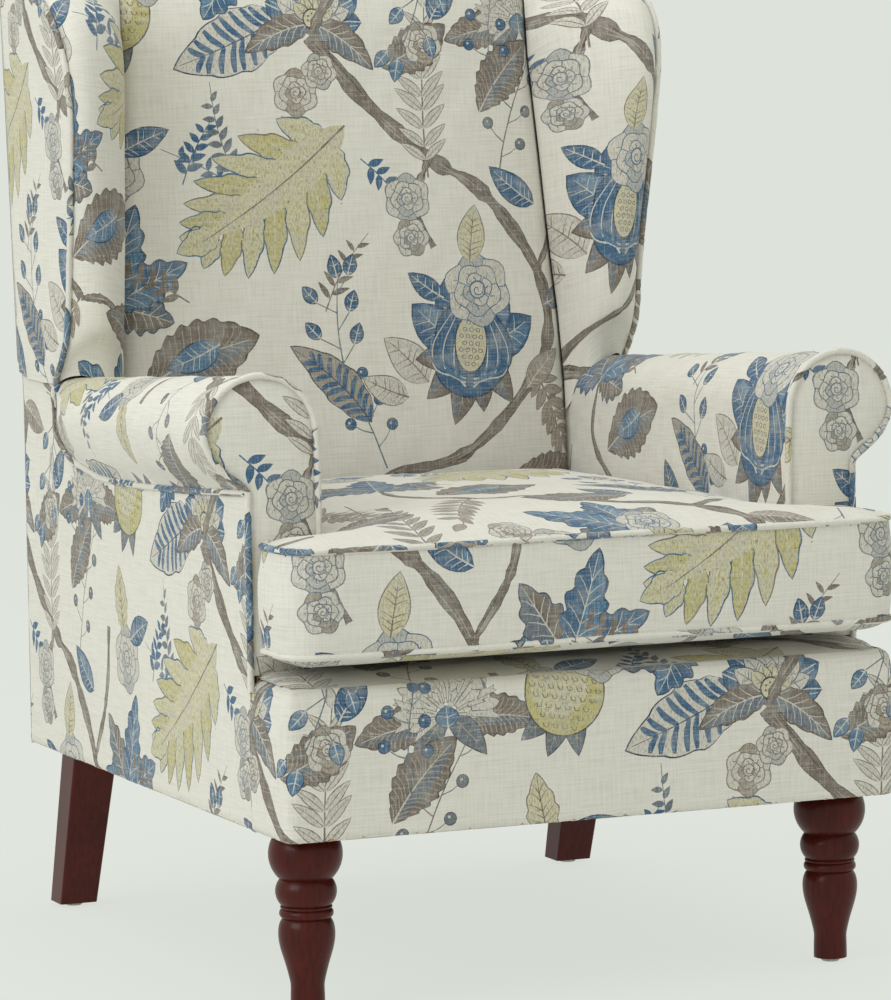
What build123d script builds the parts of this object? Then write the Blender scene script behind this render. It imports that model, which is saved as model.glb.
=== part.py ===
"""Wing armchair with a loose T-shaped seat cushion on a padded hardwood frame.

Millimetres. +Z is up, the chair faces -Y, and +X is on the right of a person who looks at its
front. The origin is on the floor, below the middle of the chair's bounding box.
"""

import os
from math import cos, pi, radians, sin

from build123d import *

# Overall size and the planes that the upholstery keeps to
HALF_WIDTH = 366.0  # outer side of each arm roll
NOSE_Y = -405.0  # front of the cushion
BASE_FRONT_Y = -392.0
ARM_FRONT_Y = -305.0
REAR_Y = 365.0  # outside back below the bend
TOP_REAR_Y = 405.0  # outside back at the top
TOP_Z = 1000.0
SIDE_X = 322.0  # outside arms and base sides
BASE_Z = 172.0
LIP_Z = 318.0  # top of the front rail's cover
BEND_Z = 540.0  # where the back starts to lean
FABRIC = 1.5
BASE_CORNER_R = 12.0  # front corners of the base

# Seat cushion
EAR_X = 320.0
EAR_REAR_Y = -311.5
CUSHION_X = 249.0
CUSHION_REAR_Y = 182.0
CUSHION_Z = 334.0
WELT_LOW_Z = 348.0
WELT_HIGH_Z = 447.0
CROWN_Z = 475.0
WELT_R = 3.0
ZIP_HALF = 225.0
ZIP_WIDE = 14.0
ZIP_Z = (WELT_LOW_Z + WELT_HIGH_Z) / 2

# Arms: the roll is a cone, larger at the front
ROLL_FRONT = {"y": ARM_FRONT_Y + 6.0, "inner_x": 252.0, "r": 57.0, "z": 549.0, "seam_z": 498.0}
ROLL_REAR = {"y": 185.0, "inner_x": 258.0, "r": 45.0, "z": 531.0, "seam_z": 484.0}
ARM_SIDE_X = SIDE_X - FABRIC
ARM_PANEL = 6.0
ARM_TAIL_REAR_Y = 222.0  # where the arm ends beside the back

# Back and wings
BACK_X = 248.0
BACK_FOOT_Y = 205.0  # edge of the inside back at the top of the front rail
BACK_LEAN = 6.5
BACK_CROWN = 20.0
BACK_DEPTH = 72.0
WING_FOOT_Z = 566.0
WING_OUT_X = 330.0
WING_PLAN_FRONT_Y = 150.0  # ahead of the wing's own front edge at every height
WING_PLAN_REAR_Y = 410.0
WING_CREASE_Y = 235.0  # where the wing meets the inside back
WING_NOSE = 26.0  # width of the wing's front edge
WING_FRONT = [(223, 566), (191, 700), (161, 850), (166, 905), (196, 950), (262, 984), (330, 997)]

# Legs
FRONT_LEG = (280.0, -330.0)
REAR_LEG_TOP = (290.0, 265.0)
REAR_LEG_FOOT = (292.0, 323.0)
REAR_TOP_SIZE = (48.0, 42.0)
REAR_FOOT_SIZE = (41.0, 36.0)
GLIDE_R = 9.0
GLIDE_H = 4.0
BOLT_R = 4.0

# Frame timber and seat springs
RAIL = 22.0
RAIL_LOW_Z = BASE_Z + FABRIC
RAIL_TOP_Z = 300.0
POST_X = (262.0, 287.0)
POST_DEPTH = 25.0
SPRINGS = 5
SPRING_Z = 291.0
SPRING_R = 1.8

DECK_FRONT_Y = ARM_FRONT_Y + 5.5
DECK_REAR_Y = BACK_FOOT_Y - 24
FRONT_RAIL_REAR = BASE_FRONT_Y + FABRIC + RAIL
BACK_RAIL_FRONT = REAR_Y - FABRIC - RAIL
SIDE_RAIL_INNER = ARM_SIDE_X - RAIL
SIDES = (("l", -1), ("r", 1))


def write(name, shape):
    export_step(shape, f"parts/{name}.step")


def block(x0, x1, y0, y1, z0, z1):
    """Axis-aligned box between two corners."""
    box = Box(x1 - x0, y1 - y0, z1 - z0, align=(Align.MIN, Align.MIN, Align.MIN))
    return Pos(x0, y0, z0) * box


def mirrored(shape, side):
    """The right-hand piece as it is, or its left-hand twin."""
    return shape if side > 0 else mirror(shape, about=Plane.YZ)


def slab_x(outline, x0, x1):
    """A closed outline in the YZ plane, given as a wire, between two X planes."""
    face = make_face(Plane.YZ * outline)
    return Pos(x0, 0, 0) * extrude(face, amount=x1 - x0, dir=(1, 0, 0))


def carve(shape, *others):
    for other in others:
        shape = shape - other
    return shape


def rear_line(inset):
    """Rear profile of the chair in Y and Z, moved in by inset, from the base to the top."""
    return [
        (REAR_Y - inset, BASE_Z),
        (REAR_Y - inset, BEND_Z),
        (TOP_REAR_Y - inset, TOP_Z),
    ]


def rear_y(z, inset=0.0):
    share = max(0.0, (z - BEND_Z) / (TOP_Z - BEND_Z))
    return REAR_Y - inset + share * (TOP_REAR_Y - REAR_Y)


# Timber frame


def front_rail():
    rail = block(-ARM_SIDE_X, ARM_SIDE_X, BASE_FRONT_Y + FABRIC, FRONT_RAIL_REAR, RAIL_LOW_Z, RAIL_TOP_Z)
    return fillet(rail.edges().filter_by(Axis.Z).group_by(Axis.Y)[0], BASE_CORNER_R - FABRIC)


def back_rail():
    return block(-ARM_SIDE_X, ARM_SIDE_X, BACK_RAIL_FRONT, REAR_Y - FABRIC, RAIL_LOW_Z, RAIL_TOP_Z)


def side_rail():
    return block(SIDE_RAIL_INNER, ARM_SIDE_X, FRONT_RAIL_REAR, BACK_RAIL_FRONT, RAIL_LOW_Z, RAIL_TOP_Z)


def corner_blocks():
    """Four glued blocks that carry the legs, each drilled for its leg's bolt."""
    size, height = 66.0, 48.0
    blocks = []
    for side in (-1, 1):
        x0 = SIDE_RAIL_INNER - size
        spots = ((FRONT_LEG, FRONT_RAIL_REAR), (REAR_LEG_TOP, BACK_RAIL_FRONT - size - 16))
        for leg, y0 in spots:
            deep = size + 16
            piece = block(x0, SIDE_RAIL_INNER, y0, y0 + deep, RAIL_LOW_Z + 2, RAIL_LOW_Z + height)
            hole = Pos(leg[0], leg[1], RAIL_LOW_Z + 20) * Cylinder(BOLT_R, 60)
            blocks.append(mirrored(piece - hole, side))
    return Compound(blocks)


def leg_plates():
    """Steel plates under the blocks, threaded for the bolts."""
    plates = []
    for side in (-1, 1):
        for x, y in (FRONT_LEG, REAR_LEG_TOP):
            plate = block(x - 22, x + 8, y - 22, y + 22, RAIL_LOW_Z, RAIL_LOW_Z + 2)
            plates.append(mirrored(plate - Pos(x, y, RAIL_LOW_Z) * Cylinder(BOLT_R, 10), side))
    return Compound(plates)


def hanger_bolts():
    low, high = RAIL_LOW_Z - 35, RAIL_LOW_Z + 42
    bolt = Cylinder(BOLT_R, high - low, align=(Align.CENTER, Align.CENTER, Align.MIN))
    spots = [(side * x, y) for side in (-1, 1) for x, y in (FRONT_LEG, REAR_LEG_TOP)]
    return Compound([Pos(x, y, low) * bolt for x, y in spots])


def arm_post():
    """Front post of an arm, with a round head inside the scroll."""
    x0, x1 = ROLL_FRONT["inner_x"] + 8, SIDE_X - 8
    y0 = ARM_FRONT_Y + ARM_PANEL
    post = block(x0, x1, y0, y0 + 22, RAIL_TOP_Z, ROLL_FRONT["z"])
    centre = ROLL_FRONT["inner_x"] + ROLL_FRONT["r"]
    head = Pos(centre, y0 + 11, ROLL_FRONT["z"]) * Rot(90, 0, 0) * Cylinder(ROLL_FRONT["r"] - 9, 22)
    return post + head


def arm_rail():
    """Rail under the roll, from the front post to the back post."""
    start, end = ARM_FRONT_Y + ARM_PANEL + 22, rear_y(0, FABRIC) - POST_DEPTH
    return block(290, 312, start, end, ROLL_REAR["z"] - 25, ROLL_REAR["z"] + 15)


def back_post():
    """Post that stands on the back rail and leans back above the arm."""
    outer, inner = FABRIC, FABRIC + POST_DEPTH
    points = [
        (rear_y(0, outer), RAIL_TOP_Z),
        (rear_y(0, outer), BEND_Z),
        (rear_y(TOP_Z - 3, outer), TOP_Z - 3),
        (rear_y(TOP_Z - 3, inner), TOP_Z - 3),
        (rear_y(0, inner), BEND_Z),
        (rear_y(0, inner), RAIL_TOP_Z),
    ]
    return slab_x(Polyline(*points, close=True), *POST_X)


def cross_rail(z0, z1):
    """Rail of the back between the two posts, following their lean."""
    outer, inner = FABRIC, FABRIC + POST_DEPTH
    points = [(rear_y(z, inset), z) for z, inset in ((z0, outer), (z1, outer), (z1, inner), (z0, inner))]
    return slab_x(Polyline(*points, close=True), -POST_X[0], POST_X[0])


def top_rail():
    return cross_rail(940, TOP_Z - 3)


def wing_outline(inset):
    """Side view of a wing: curved front and top, straight foot and rear."""
    front = [(y + inset, z - inset * (i > 3)) for i, (y, z) in enumerate(WING_FRONT)]
    front[0] = (front[0][0], WING_FOOT_Z)
    top = TOP_Z - inset
    rear_top = (rear_y(top, inset), top - 2)
    rear_low = (rear_y(WING_FOOT_Z, inset), WING_FOOT_Z)
    return [Spline(*front), Polyline(front[-1], rear_top, rear_low, front[0])]


def wing_slab(inset, x0, x1):
    outline = Plane.YZ * make_face(wing_outline(inset))
    return Pos(x0, 0, 0) * extrude(outline, amount=x1 - x0, dir=(1, 0, 0))


def wing_board():
    board = wing_slab(24.0, WING_OUT_X - 24, WING_OUT_X - 8)
    return board - block(0, 400, 0, 500, 0, WING_FOOT_Z + 2)


# Upholstered back


def lean_vector(length):
    return (0, length * sin(radians(BACK_LEAN)), length * cos(radians(BACK_LEAN)))


def back_slab(front_inset, depth, crown_rear):
    """Pad or cover of the inside back: crowned in plan and leaning with the back."""
    foot = BACK_FOOT_Y + front_inset
    rear = foot + depth
    bulge = BACK_CROWN
    front = ThreePointArc((-BACK_X, foot), (0, foot - bulge), (BACK_X, foot))
    if crown_rear:
        back = ThreePointArc((BACK_X, rear), (0, rear - bulge), (-BACK_X, rear))
    else:
        back = Line((BACK_X, rear), (-BACK_X, rear))
    ends = [Line((BACK_X, foot), (BACK_X, rear)), Line((-BACK_X, rear), (-BACK_X, foot))]
    face = make_face([front, ends[0], back, ends[1]])
    prism = extrude(Pos(0, 0, LIP_Z) * face, amount=760, dir=lean_vector(1))
    return prism & block(-400, 400, -500, 500, LIP_Z + 2, TOP_Z - FABRIC)


def back_foam():
    pad = back_slab(FABRIC, BACK_DEPTH, crown_rear=False)
    return carve(pad, top_rail())


def inside_back_cover():
    """Front skin of the back, carried over the top rail to the outside back."""
    skin = back_slab(0.0, FABRIC, crown_rear=True)
    z0 = TOP_Z - FABRIC
    front_y = BACK_FOOT_Y + (z0 - LIP_Z) * sin(radians(BACK_LEAN)) / cos(radians(BACK_LEAN))
    top = block(-BACK_X, BACK_X, front_y - BACK_CROWN, TOP_REAR_Y - FABRIC - 0.5, z0, TOP_Z)
    return skin + top


def back_webbing():
    """Four straps across the posts, behind the pad."""
    straps = []
    for i in range(4):
        z = 400 + i * 140
        y = rear_y(z, FABRIC + POST_DEPTH) - 9
        straps.append(block(-BACK_X + 2, BACK_X - 2, y, y + 1.5, z - 25, z + 25))
    return Compound(straps)


def outside_back_cover():
    outer = rear_line(0.0)
    inner = list(reversed(rear_line(FABRIC)))
    return slab_x(Polyline(*outer, *inner, close=True), -SIDE_X + FABRIC, SIDE_X - FABRIC)


# Arms


def arm_section(spec, inset):
    """Closed outline of an arm in X and Z: inner face, roll and the seam under the roll."""
    x, z, r = spec["inner_x"] + inset, spec["z"], spec["r"] - inset
    centre = spec["inner_x"] + spec["r"]
    outer, seam = centre + r, spec["seam_z"] + inset
    corner = (centre + 0.86 * r, z - 0.42 * r)
    return [
        Line((x, LIP_Z), (x, z)),
        ThreePointArc((x, z), (centre - r * cos(pi / 4), z + r * sin(pi / 4)), (centre, z + r)),
        ThreePointArc((centre, z + r), (centre + r * cos(pi / 4), z + r * sin(pi / 4)), (outer, z)),
        ThreePointArc((outer, z), corner, (ARM_SIDE_X, seam)),
        Line((ARM_SIDE_X, seam), (ARM_SIDE_X, LIP_Z)),
        Line((ARM_SIDE_X, LIP_Z), (x, LIP_Z)),
    ]


def arm_mass(inset, rear_inset=0.0):
    faces = []
    for spec, y in ((ROLL_FRONT, ROLL_FRONT["y"]), (ROLL_REAR, ROLL_REAR["y"] - rear_inset)):
        face = Plane.XZ * make_face(arm_section(spec, inset))
        faces.append(Pos(0, y, 0) * face)
    return loft(faces, ruled=True)


def arm_tail(inset):
    """Stretch of the arm beside the back, behind the end of the roll."""
    x = ROLL_REAR["inner_x"] + inset
    return block(x, ARM_SIDE_X, ROLL_REAR["y"], ARM_TAIL_REAR_Y, LIP_Z, WING_FOOT_Z - 3 - inset)


def inside_arm_cover():
    roll = arm_mass(0.0) - arm_mass(FABRIC, FABRIC)
    tail = arm_tail(0.0) - arm_tail(FABRIC)
    return (roll + tail) - arm_rail()


def arm_foam():
    """Padding of the inner face and the roll, hollow below the roll."""
    pad = arm_mass(FABRIC + 0.05, FABRIC + 0.05)
    hollow = block(272, ARM_SIDE_X, ARM_FRONT_Y, 300, LIP_Z - 1, ROLL_REAR["seam_z"] - 6)
    return carve(pad, hollow, arm_post(), arm_rail())


def scroll_face(inset):
    """Front panel's outline: the arm's section carried down to the lip."""
    return make_face(arm_section(ROLL_FRONT, inset))


def arm_front_panel():
    face = Plane.XZ * scroll_face(WELT_R)
    return Pos(0, ARM_FRONT_Y, 0) * extrude(face, amount=ARM_PANEL, dir=(0, 1, 0))


def arm_front_welt():
    face = Plane.XZ * (scroll_face(0.0) - scroll_face(WELT_R))
    ring = Pos(0, ARM_FRONT_Y - 3, 0) * extrude(face, amount=ARM_PANEL + 3, dir=(0, 1, 0))
    return ring - block(200, 400, ARM_FRONT_Y - 10, ARM_FRONT_Y + 10, LIP_Z - 1, LIP_Z + 2)


def outside_arm_cover():
    """Flat panel from the base to the seam under the roll and up behind the roll's end."""
    front, rear = BASE_FRONT_Y, REAR_Y
    seam = [(ARM_FRONT_Y, ROLL_FRONT["seam_z"] - 0.5), (ROLL_REAR["y"], ROLL_REAR["seam_z"] - 0.5)]
    behind = [(ROLL_REAR["y"], WING_FOOT_Z), (rear_y(WING_FOOT_Z), WING_FOOT_Z), (rear, BEND_Z)]
    below = [(rear, BASE_Z), (front, BASE_Z), (front, LIP_Z), (ARM_FRONT_Y, LIP_Z)]
    return slab_x(Polyline(*seam, *behind, *below, close=True), ARM_SIDE_X, SIDE_X)


# Wings


def wing_plan(inset):
    """Top view of a wing: flat outside, round front edge and an inner face to the back."""
    out, inner = WING_OUT_X - inset, BACK_X + 3 + inset
    lead, rear = WING_PLAN_FRONT_Y + inset, WING_PLAN_REAR_Y
    nose = (out - WING_NOSE + inset, lead)
    return make_face(Polyline((out, rear), (out, lead), nose, (inner, WING_CREASE_Y), (inner, rear), close=True))


def wing_mass(inset):
    plan = extrude(Pos(0, 0, WING_FOOT_Z) * wing_plan(inset), amount=500)
    return plan & wing_slab(inset, 200, 400)


def wing_outer_cover():
    return wing_slab(FABRIC, WING_OUT_X - FABRIC, WING_OUT_X)


def wing_inner_cover():
    """Skin of the wing's front edge, inner face and top."""
    shell = wing_mass(0.0) - wing_mass(FABRIC)
    shell = shell - block(WING_OUT_X - FABRIC - 0.3, 400, 0, 500, 500, 1100)
    return carve(shell, outside_back_cover(), back_post(), top_rail(), wing_board())


def wing_foam():
    pad = wing_mass(FABRIC + 0.05) - block(200, 400, 300, 500, 500, 1100)
    return carve(pad, wing_board(), back_post())


def wing_welt():
    """Cord along the wing's front edge."""
    ring = wing_slab(-WELT_R, WING_OUT_X - 2 * WELT_R, WING_OUT_X) - wing_slab(
        0.0, WING_OUT_X - 2 * WELT_R - 1, WING_OUT_X + 1
    )
    keep = block(200, 400, 0, 330, WING_FOOT_Z + 1, TOP_Z)
    return ring & keep


# Seat deck


def spring(x):
    """Sinuous seat spring: a wire that snakes from the front rail to the back rail."""
    half, pitch = 24.0, 38.0
    start, end = FRONT_RAIL_REAR + 6, BACK_RAIL_FRONT - 6
    count = int((end - start) // pitch)
    pitch = (end - start) / count
    points = [(x, start)]
    for i in range(count):
        side = half if i % 2 else -half
        points += [(x + side, start + i * pitch), (x + side, start + (i + 1) * pitch)]
    points.append((x, end))
    path = Pos(0, 0, SPRING_Z) * FilletPolyline(*points, radius=13.0)
    section = Plane(origin=path @ 0, z_dir=path % 0) * Circle(SPRING_R)
    return sweep(section, path=path)


def spring_rows():
    step = 92.0
    return [(i - (SPRINGS - 1) / 2) * step for i in range(SPRINGS)]


def seat_springs():
    return Compound([spring(x) for x in spring_rows()])


def spring_clips():
    """Clips on the rails; each holds a spring's end bar in an open slot."""
    deep, tall, slot = 5.5, 6.0, 2.2
    clips = []
    for x in spring_rows():
        for wall, away in ((FRONT_RAIL_REAR, 1), (BACK_RAIL_FRONT, -1)):
            y0, y1 = sorted((wall, wall + away * deep))
            s0, s1 = sorted((wall + away * 1.2, wall + away * 20))
            body = block(x - 14, x + 14, y0, y1, SPRING_Z - tall, SPRING_Z + tall)
            clips.append(body - block(x - 20, x + 20, s0, s1, SPRING_Z - slot, SPRING_Z + slot))
    return Compound(clips)


def deck_burlap():
    """Cloth over the springs, tacked to the tops of the rails and cut round the posts."""
    x, tack = ARM_SIDE_X - 4, 15.0
    cloth = block(-x, x, FRONT_RAIL_REAR - tack, BACK_RAIL_FRONT + tack, RAIL_TOP_Z, RAIL_TOP_Z + 1)
    for side in (-1, 1):
        cloth = carve(cloth, mirrored(arm_post(), side), mirrored(back_post(), side))
    return cloth


def deck_pad():
    return block(-BACK_X + 2, BACK_X - 2, DECK_FRONT_Y + 2, DECK_REAR_Y, RAIL_TOP_Z + 1, CUSHION_Z - 2.5)


def deck_cover():
    y0, y1 = DECK_FRONT_Y + 0.2, DECK_REAR_Y
    top = block(-BACK_X + 2, BACK_X - 2, y0, y1, CUSHION_Z - 2.5, CUSHION_Z - 1)
    return top + block(-BACK_X + 2, BACK_X - 2, y0, y0 + FABRIC, LIP_Z, CUSHION_Z - 2.5)


def lip_pad():
    """Firm edge roll on the front rail, under the cushion's front."""
    y0 = BASE_FRONT_Y + FABRIC
    return block(-ARM_SIDE_X + 3, ARM_SIDE_X - 3, y0, ARM_FRONT_Y - 2, RAIL_TOP_Z + 1.2, LIP_Z - FABRIC)


def front_rail_cover():
    """Front border, turned over the edge roll to the foot of the arms."""
    y0 = BASE_FRONT_Y
    front = block(-ARM_SIDE_X, ARM_SIDE_X, y0, y0 + FABRIC, BASE_Z, LIP_Z)
    top = block(-ARM_SIDE_X, ARM_SIDE_X, y0 + FABRIC, DECK_FRONT_Y, LIP_Z - FABRIC, LIP_Z)
    return front + top


def dust_cover():
    """Black cloth under the base, cut out round the legs."""
    x, hem = ARM_SIDE_X - 6, FABRIC + 6
    cloth = block(-x, x, BASE_FRONT_Y + hem, REAR_Y - hem, BASE_Z, BASE_Z + FABRIC)
    cloth = fillet(cloth.edges().filter_by(Axis.Z), BASE_CORNER_R - 6)
    for side in (-1, 1):
        x, y = FRONT_LEG
        cloth = cloth - Pos(side * x, y, BASE_Z) * Cylinder(34, 20)
        x, y = REAR_LEG_TOP
        wide, deep = REAR_TOP_SIZE
        cloth = cloth - Pos(side * x, y, BASE_Z) * Box(wide + 3, deep + 3, 20)
    return cloth


# Legs


def front_leg():
    """Turned leg: bulb, smaller bulb, ring, vase and tapered foot."""
    top = RAIL_LOW_Z
    outline = [
        Line((0, top), (28, top)),
        ThreePointArc((28, top), (35.3, 149), (25, 129)),
        ThreePointArc((25, 129), (29.4, 117), (23.6, 103.6)),
        ThreePointArc((23.6, 103.6), (24.9, 102), (23.6, 100.4)),
        ThreePointArc((23.6, 100.4), (26, 96), (22.8, 91.4)),
        Spline((22.8, 91.4), (27.2, 75), (20.5, 46), (16.8, 31), (16.5, GLIDE_H), tangents=((0.9, -1), (0, -1))),
        Line((16.5, GLIDE_H), (0, GLIDE_H)),
        Line((0, GLIDE_H), (0, top)),
    ]
    face = Plane.XZ * make_face(outline)
    leg = Pos(FRONT_LEG[0], FRONT_LEG[1], 0) * revolve(face, axis=Axis.Z)
    return leg - bolt_hole(FRONT_LEG)


def bolt_hole(spot):
    low = RAIL_LOW_Z - 35
    hole = Cylinder(BOLT_R, 60, align=(Align.CENTER, Align.CENTER, Align.MIN))
    return Pos(spot[0], spot[1], low) * hole


def rear_leg():
    """Square tapered leg that rakes back."""
    foot = Pos(*REAR_LEG_FOOT, GLIDE_H) * Rectangle(*REAR_FOOT_SIZE)
    top = Pos(*REAR_LEG_TOP, RAIL_LOW_Z) * Rectangle(*REAR_TOP_SIZE)
    leg = loft([foot, top], ruled=True)
    edges = leg.edges().filter_by(lambda e: e.length > 100)
    return fillet(edges, 2.5) - bolt_hole(REAR_LEG_TOP)


def glides():
    disc = Cylinder(GLIDE_R, GLIDE_H, align=(Align.CENTER, Align.CENTER, Align.MIN))
    disc = chamfer(disc.edges().group_by(Axis.Z)[0], 0.8)
    spots = [(side * x, y) for side in (-1, 1) for x, y in (FRONT_LEG, REAR_LEG_FOOT)]
    return Compound([Pos(x, y, 0) * disc for x, y in spots])


# Seat cushion


def tee(inset):
    """Plan of the cushion: two ears pass in front of the arms."""
    ear, body = EAR_X - inset, CUSHION_X - inset
    nose, shelf, rear = NOSE_Y + inset, EAR_REAR_Y - inset, CUSHION_REAR_Y - inset
    points = [(-ear, nose), (ear, nose), (ear, shelf), (body, shelf)]
    points += [(body, rear), (-body, rear), (-body, shelf), (-ear, shelf)]
    face = make_face(Polyline(*points, close=True))
    round_corners = [v for v in face.vertices() if abs(abs(v.X) - ear) < 0.1]
    return fillet(round_corners, 26 - inset)


def crown(inset):
    """Bulged top: two shallow barrels meet over the middle of the cushion."""
    low, high = WELT_HIGH_Z, CROWN_Z - inset
    rise = high - low
    middle = (NOSE_Y + CUSHION_REAR_Y) / 2
    solid = extrude(Pos(0, 0, low) * tee(inset), amount=rise + 10)
    for half, turn in ((EAR_X + 30, Rot(90, 0, 0)), ((CUSHION_REAR_Y - NOSE_Y) / 2 + 20, Rot(0, 90, 0))):
        radius = (half**2 + rise**2) / (2 * rise)
        barrel = Cylinder(radius, 2000)
        solid = solid & (Pos(0, middle, high - radius) * turn * barrel)
    return solid


def cushion_mass(inset):
    low = CUSHION_Z + inset
    return extrude(Pos(0, 0, low) * tee(inset), amount=WELT_HIGH_Z - low) + crown(inset)


def welt_ring(z):
    ring = tee(0.0) - tee(WELT_R)
    return extrude(Pos(0, 0, z - WELT_R) * ring, amount=2 * WELT_R)


def cushion_band(z0, z1):
    """The part of the cushion's shell between two heights."""
    shell = cushion_mass(0.0) - cushion_mass(FABRIC)
    return shell & block(-400, 400, -500, 400, z0, z1)


def cushion_foam():
    """Core, cut back where the two cords are sewn in."""
    core = cushion_mass(FABRIC)
    return carve(core, welt_ring(WELT_LOW_Z), welt_ring(WELT_HIGH_Z))


def cushion_boxing():
    """Side border with a slot in its rear wall for the zip."""
    band = cushion_band(WELT_LOW_Z + WELT_R, WELT_HIGH_Z - WELT_R)
    return band - zip_slot(ZIP_HALF, ZIP_WIDE)


def zip_slot(half, wide):
    return block(-half, half, CUSHION_REAR_Y - FABRIC, CUSHION_REAR_Y + 1, ZIP_Z - wide, ZIP_Z + wide)


def zip_tape():
    return block(
        -ZIP_HALF, ZIP_HALF, CUSHION_REAR_Y - FABRIC, CUSHION_REAR_Y - 0.3, ZIP_Z - ZIP_WIDE, ZIP_Z + ZIP_WIDE
    )


def zip_slider():
    """Slider with its pull, just clear of the tape."""
    y0 = CUSHION_REAR_Y + 0.1
    body = block(-6, 6, y0, y0 + 2.4, ZIP_Z - 5, ZIP_Z + 5)
    pull = block(6, 26, y0 + 0.6, y0 + 1.8, ZIP_Z - 3, ZIP_Z + 3)
    return body + pull


def build():
    pairs = {
        "side_rail": side_rail,
        "arm_post": arm_post,
        "arm_rail": arm_rail,
        "back_post": back_post,
        "wing_board": wing_board,
        "inside_arm_cover": inside_arm_cover,
        "arm_foam": arm_foam,
        "arm_front_panel": arm_front_panel,
        "outside_arm_cover": outside_arm_cover,
        "wing_outer_cover": wing_outer_cover,
        "wing_inner_cover": wing_inner_cover,
        "wing_foam": wing_foam,
        "front_leg": front_leg,
        "rear_leg": rear_leg,
    }
    for name, make in pairs.items():
        shape = make()
        for tag, side in SIDES:
            write(f"{name}_{tag}", mirrored(shape, side))
    for name, make in (("arm_front_welts", arm_front_welt), ("wing_welts", wing_welt)):
        shape = make()
        write(name, Compound([mirrored(shape, side) for _, side in SIDES]))
    singles = {
        "front_rail": front_rail(),
        "back_rail": back_rail(),
        "corner_blocks": corner_blocks(),
        "leg_plates": leg_plates(),
        "hanger_bolts": hanger_bolts(),
        "top_rail": top_rail(),
        "back_cross_rail": cross_rail(460, 500),
        "back_webbing": back_webbing(),
        "back_foam": back_foam(),
        "inside_back_cover": inside_back_cover(),
        "outside_back_cover": outside_back_cover(),
        "seat_springs": seat_springs(),
        "spring_clips": spring_clips(),
        "deck_burlap": deck_burlap(),
        "deck_pad": deck_pad(),
        "deck_cover": deck_cover(),
        "lip_pad": lip_pad(),
        "front_rail_cover": front_rail_cover(),
        "dust_cover": dust_cover(),
        "glides": glides(),
        "cushion_foam": cushion_foam(),
        "cushion_top": cushion_band(WELT_HIGH_Z + WELT_R, CROWN_Z + 1),
        "cushion_boxing": cushion_boxing(),
        "cushion_bottom": cushion_band(CUSHION_Z - 1, WELT_LOW_Z - WELT_R),
        "cushion_welt_top": welt_ring(WELT_HIGH_Z),
        "cushion_welt_bottom": welt_ring(WELT_LOW_Z),
        "zip_tape": zip_tape(),
        "zip_slider": zip_slider(),
    }
    for name, shape in singles.items():
        write(name, shape)


os.makedirs("parts", exist_ok=True)
build()
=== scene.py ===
"""Wing armchair in a printed linen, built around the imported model.

Metres, in the model's frame: +Z up, the chair faces -Y, +X is on the right of a person who looks
at its front. Each cover is cut flat in its own cloth coordinates, the print is drawn on the flat
cut as closed outlines, and the cut is then laid on the padded shape.
"""

from math import ceil, cos, pi, radians, sin, tan

import bpy
import numpy as np
from mathutils import Matrix, Vector
from mathutils.bvhtree import BVHTree
from mathutils.geometry import delaunay_2d_cdt
from mathutils.kdtree import KDTree


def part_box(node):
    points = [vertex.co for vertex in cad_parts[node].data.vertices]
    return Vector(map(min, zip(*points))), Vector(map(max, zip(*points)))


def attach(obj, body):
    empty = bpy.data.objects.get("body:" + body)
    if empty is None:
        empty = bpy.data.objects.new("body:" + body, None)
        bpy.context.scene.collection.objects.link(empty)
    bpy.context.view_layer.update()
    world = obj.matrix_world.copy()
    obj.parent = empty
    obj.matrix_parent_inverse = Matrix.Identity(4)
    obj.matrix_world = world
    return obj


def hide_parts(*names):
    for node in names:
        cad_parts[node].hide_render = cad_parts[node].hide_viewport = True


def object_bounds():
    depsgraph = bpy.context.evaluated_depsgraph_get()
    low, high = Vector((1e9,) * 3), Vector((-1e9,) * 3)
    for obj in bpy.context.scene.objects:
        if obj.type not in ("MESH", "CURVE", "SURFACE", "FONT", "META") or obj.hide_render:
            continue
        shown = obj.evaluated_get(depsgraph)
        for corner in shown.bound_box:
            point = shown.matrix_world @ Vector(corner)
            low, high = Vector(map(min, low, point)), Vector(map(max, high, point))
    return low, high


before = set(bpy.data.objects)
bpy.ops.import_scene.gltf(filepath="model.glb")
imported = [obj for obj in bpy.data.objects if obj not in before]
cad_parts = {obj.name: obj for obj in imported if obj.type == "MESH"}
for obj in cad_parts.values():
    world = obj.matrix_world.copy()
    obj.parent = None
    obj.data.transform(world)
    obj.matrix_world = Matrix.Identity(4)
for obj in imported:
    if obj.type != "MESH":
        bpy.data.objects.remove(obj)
cad_low, cad_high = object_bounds()

# Planes that the upholstery keeps to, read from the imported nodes
SIDE_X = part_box("outside_arm_cover_r")[1].x
BASE_FRONT_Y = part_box("front_rail_cover")[0].y
BASE_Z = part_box("front_rail_cover")[0].z
LIP_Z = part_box("front_rail_cover")[1].z
REAR_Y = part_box("back_rail")[1].y + 0.0015
TOP_Z = cad_high.z
TOP_REAR_Y = cad_high.y
ARM_FRONT_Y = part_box("arm_front_panel_r")[0].y
ARM_INNER_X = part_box("arm_front_panel_r")[0].x - 0.003
ARM_OUTER_X = cad_high.x
DECK_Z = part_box("deck_cover")[1].z
CUSHION_LOW, CUSHION_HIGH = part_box("cushion_foam")
WELT_LOW_Z = (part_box("cushion_welt_bottom")[0].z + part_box("cushion_welt_bottom")[1].z) / 2
WELT_HIGH_Z = (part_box("cushion_welt_top")[0].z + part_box("cushion_welt_top")[1].z) / 2
BEND_Z = 0.540  # height above which the rear of the chair leans back
EAR_REAR_Y = -0.3115  # where the cushion's ears meet its narrower body
CUSHION_BODY_X = 0.249  # half width of that body

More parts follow.
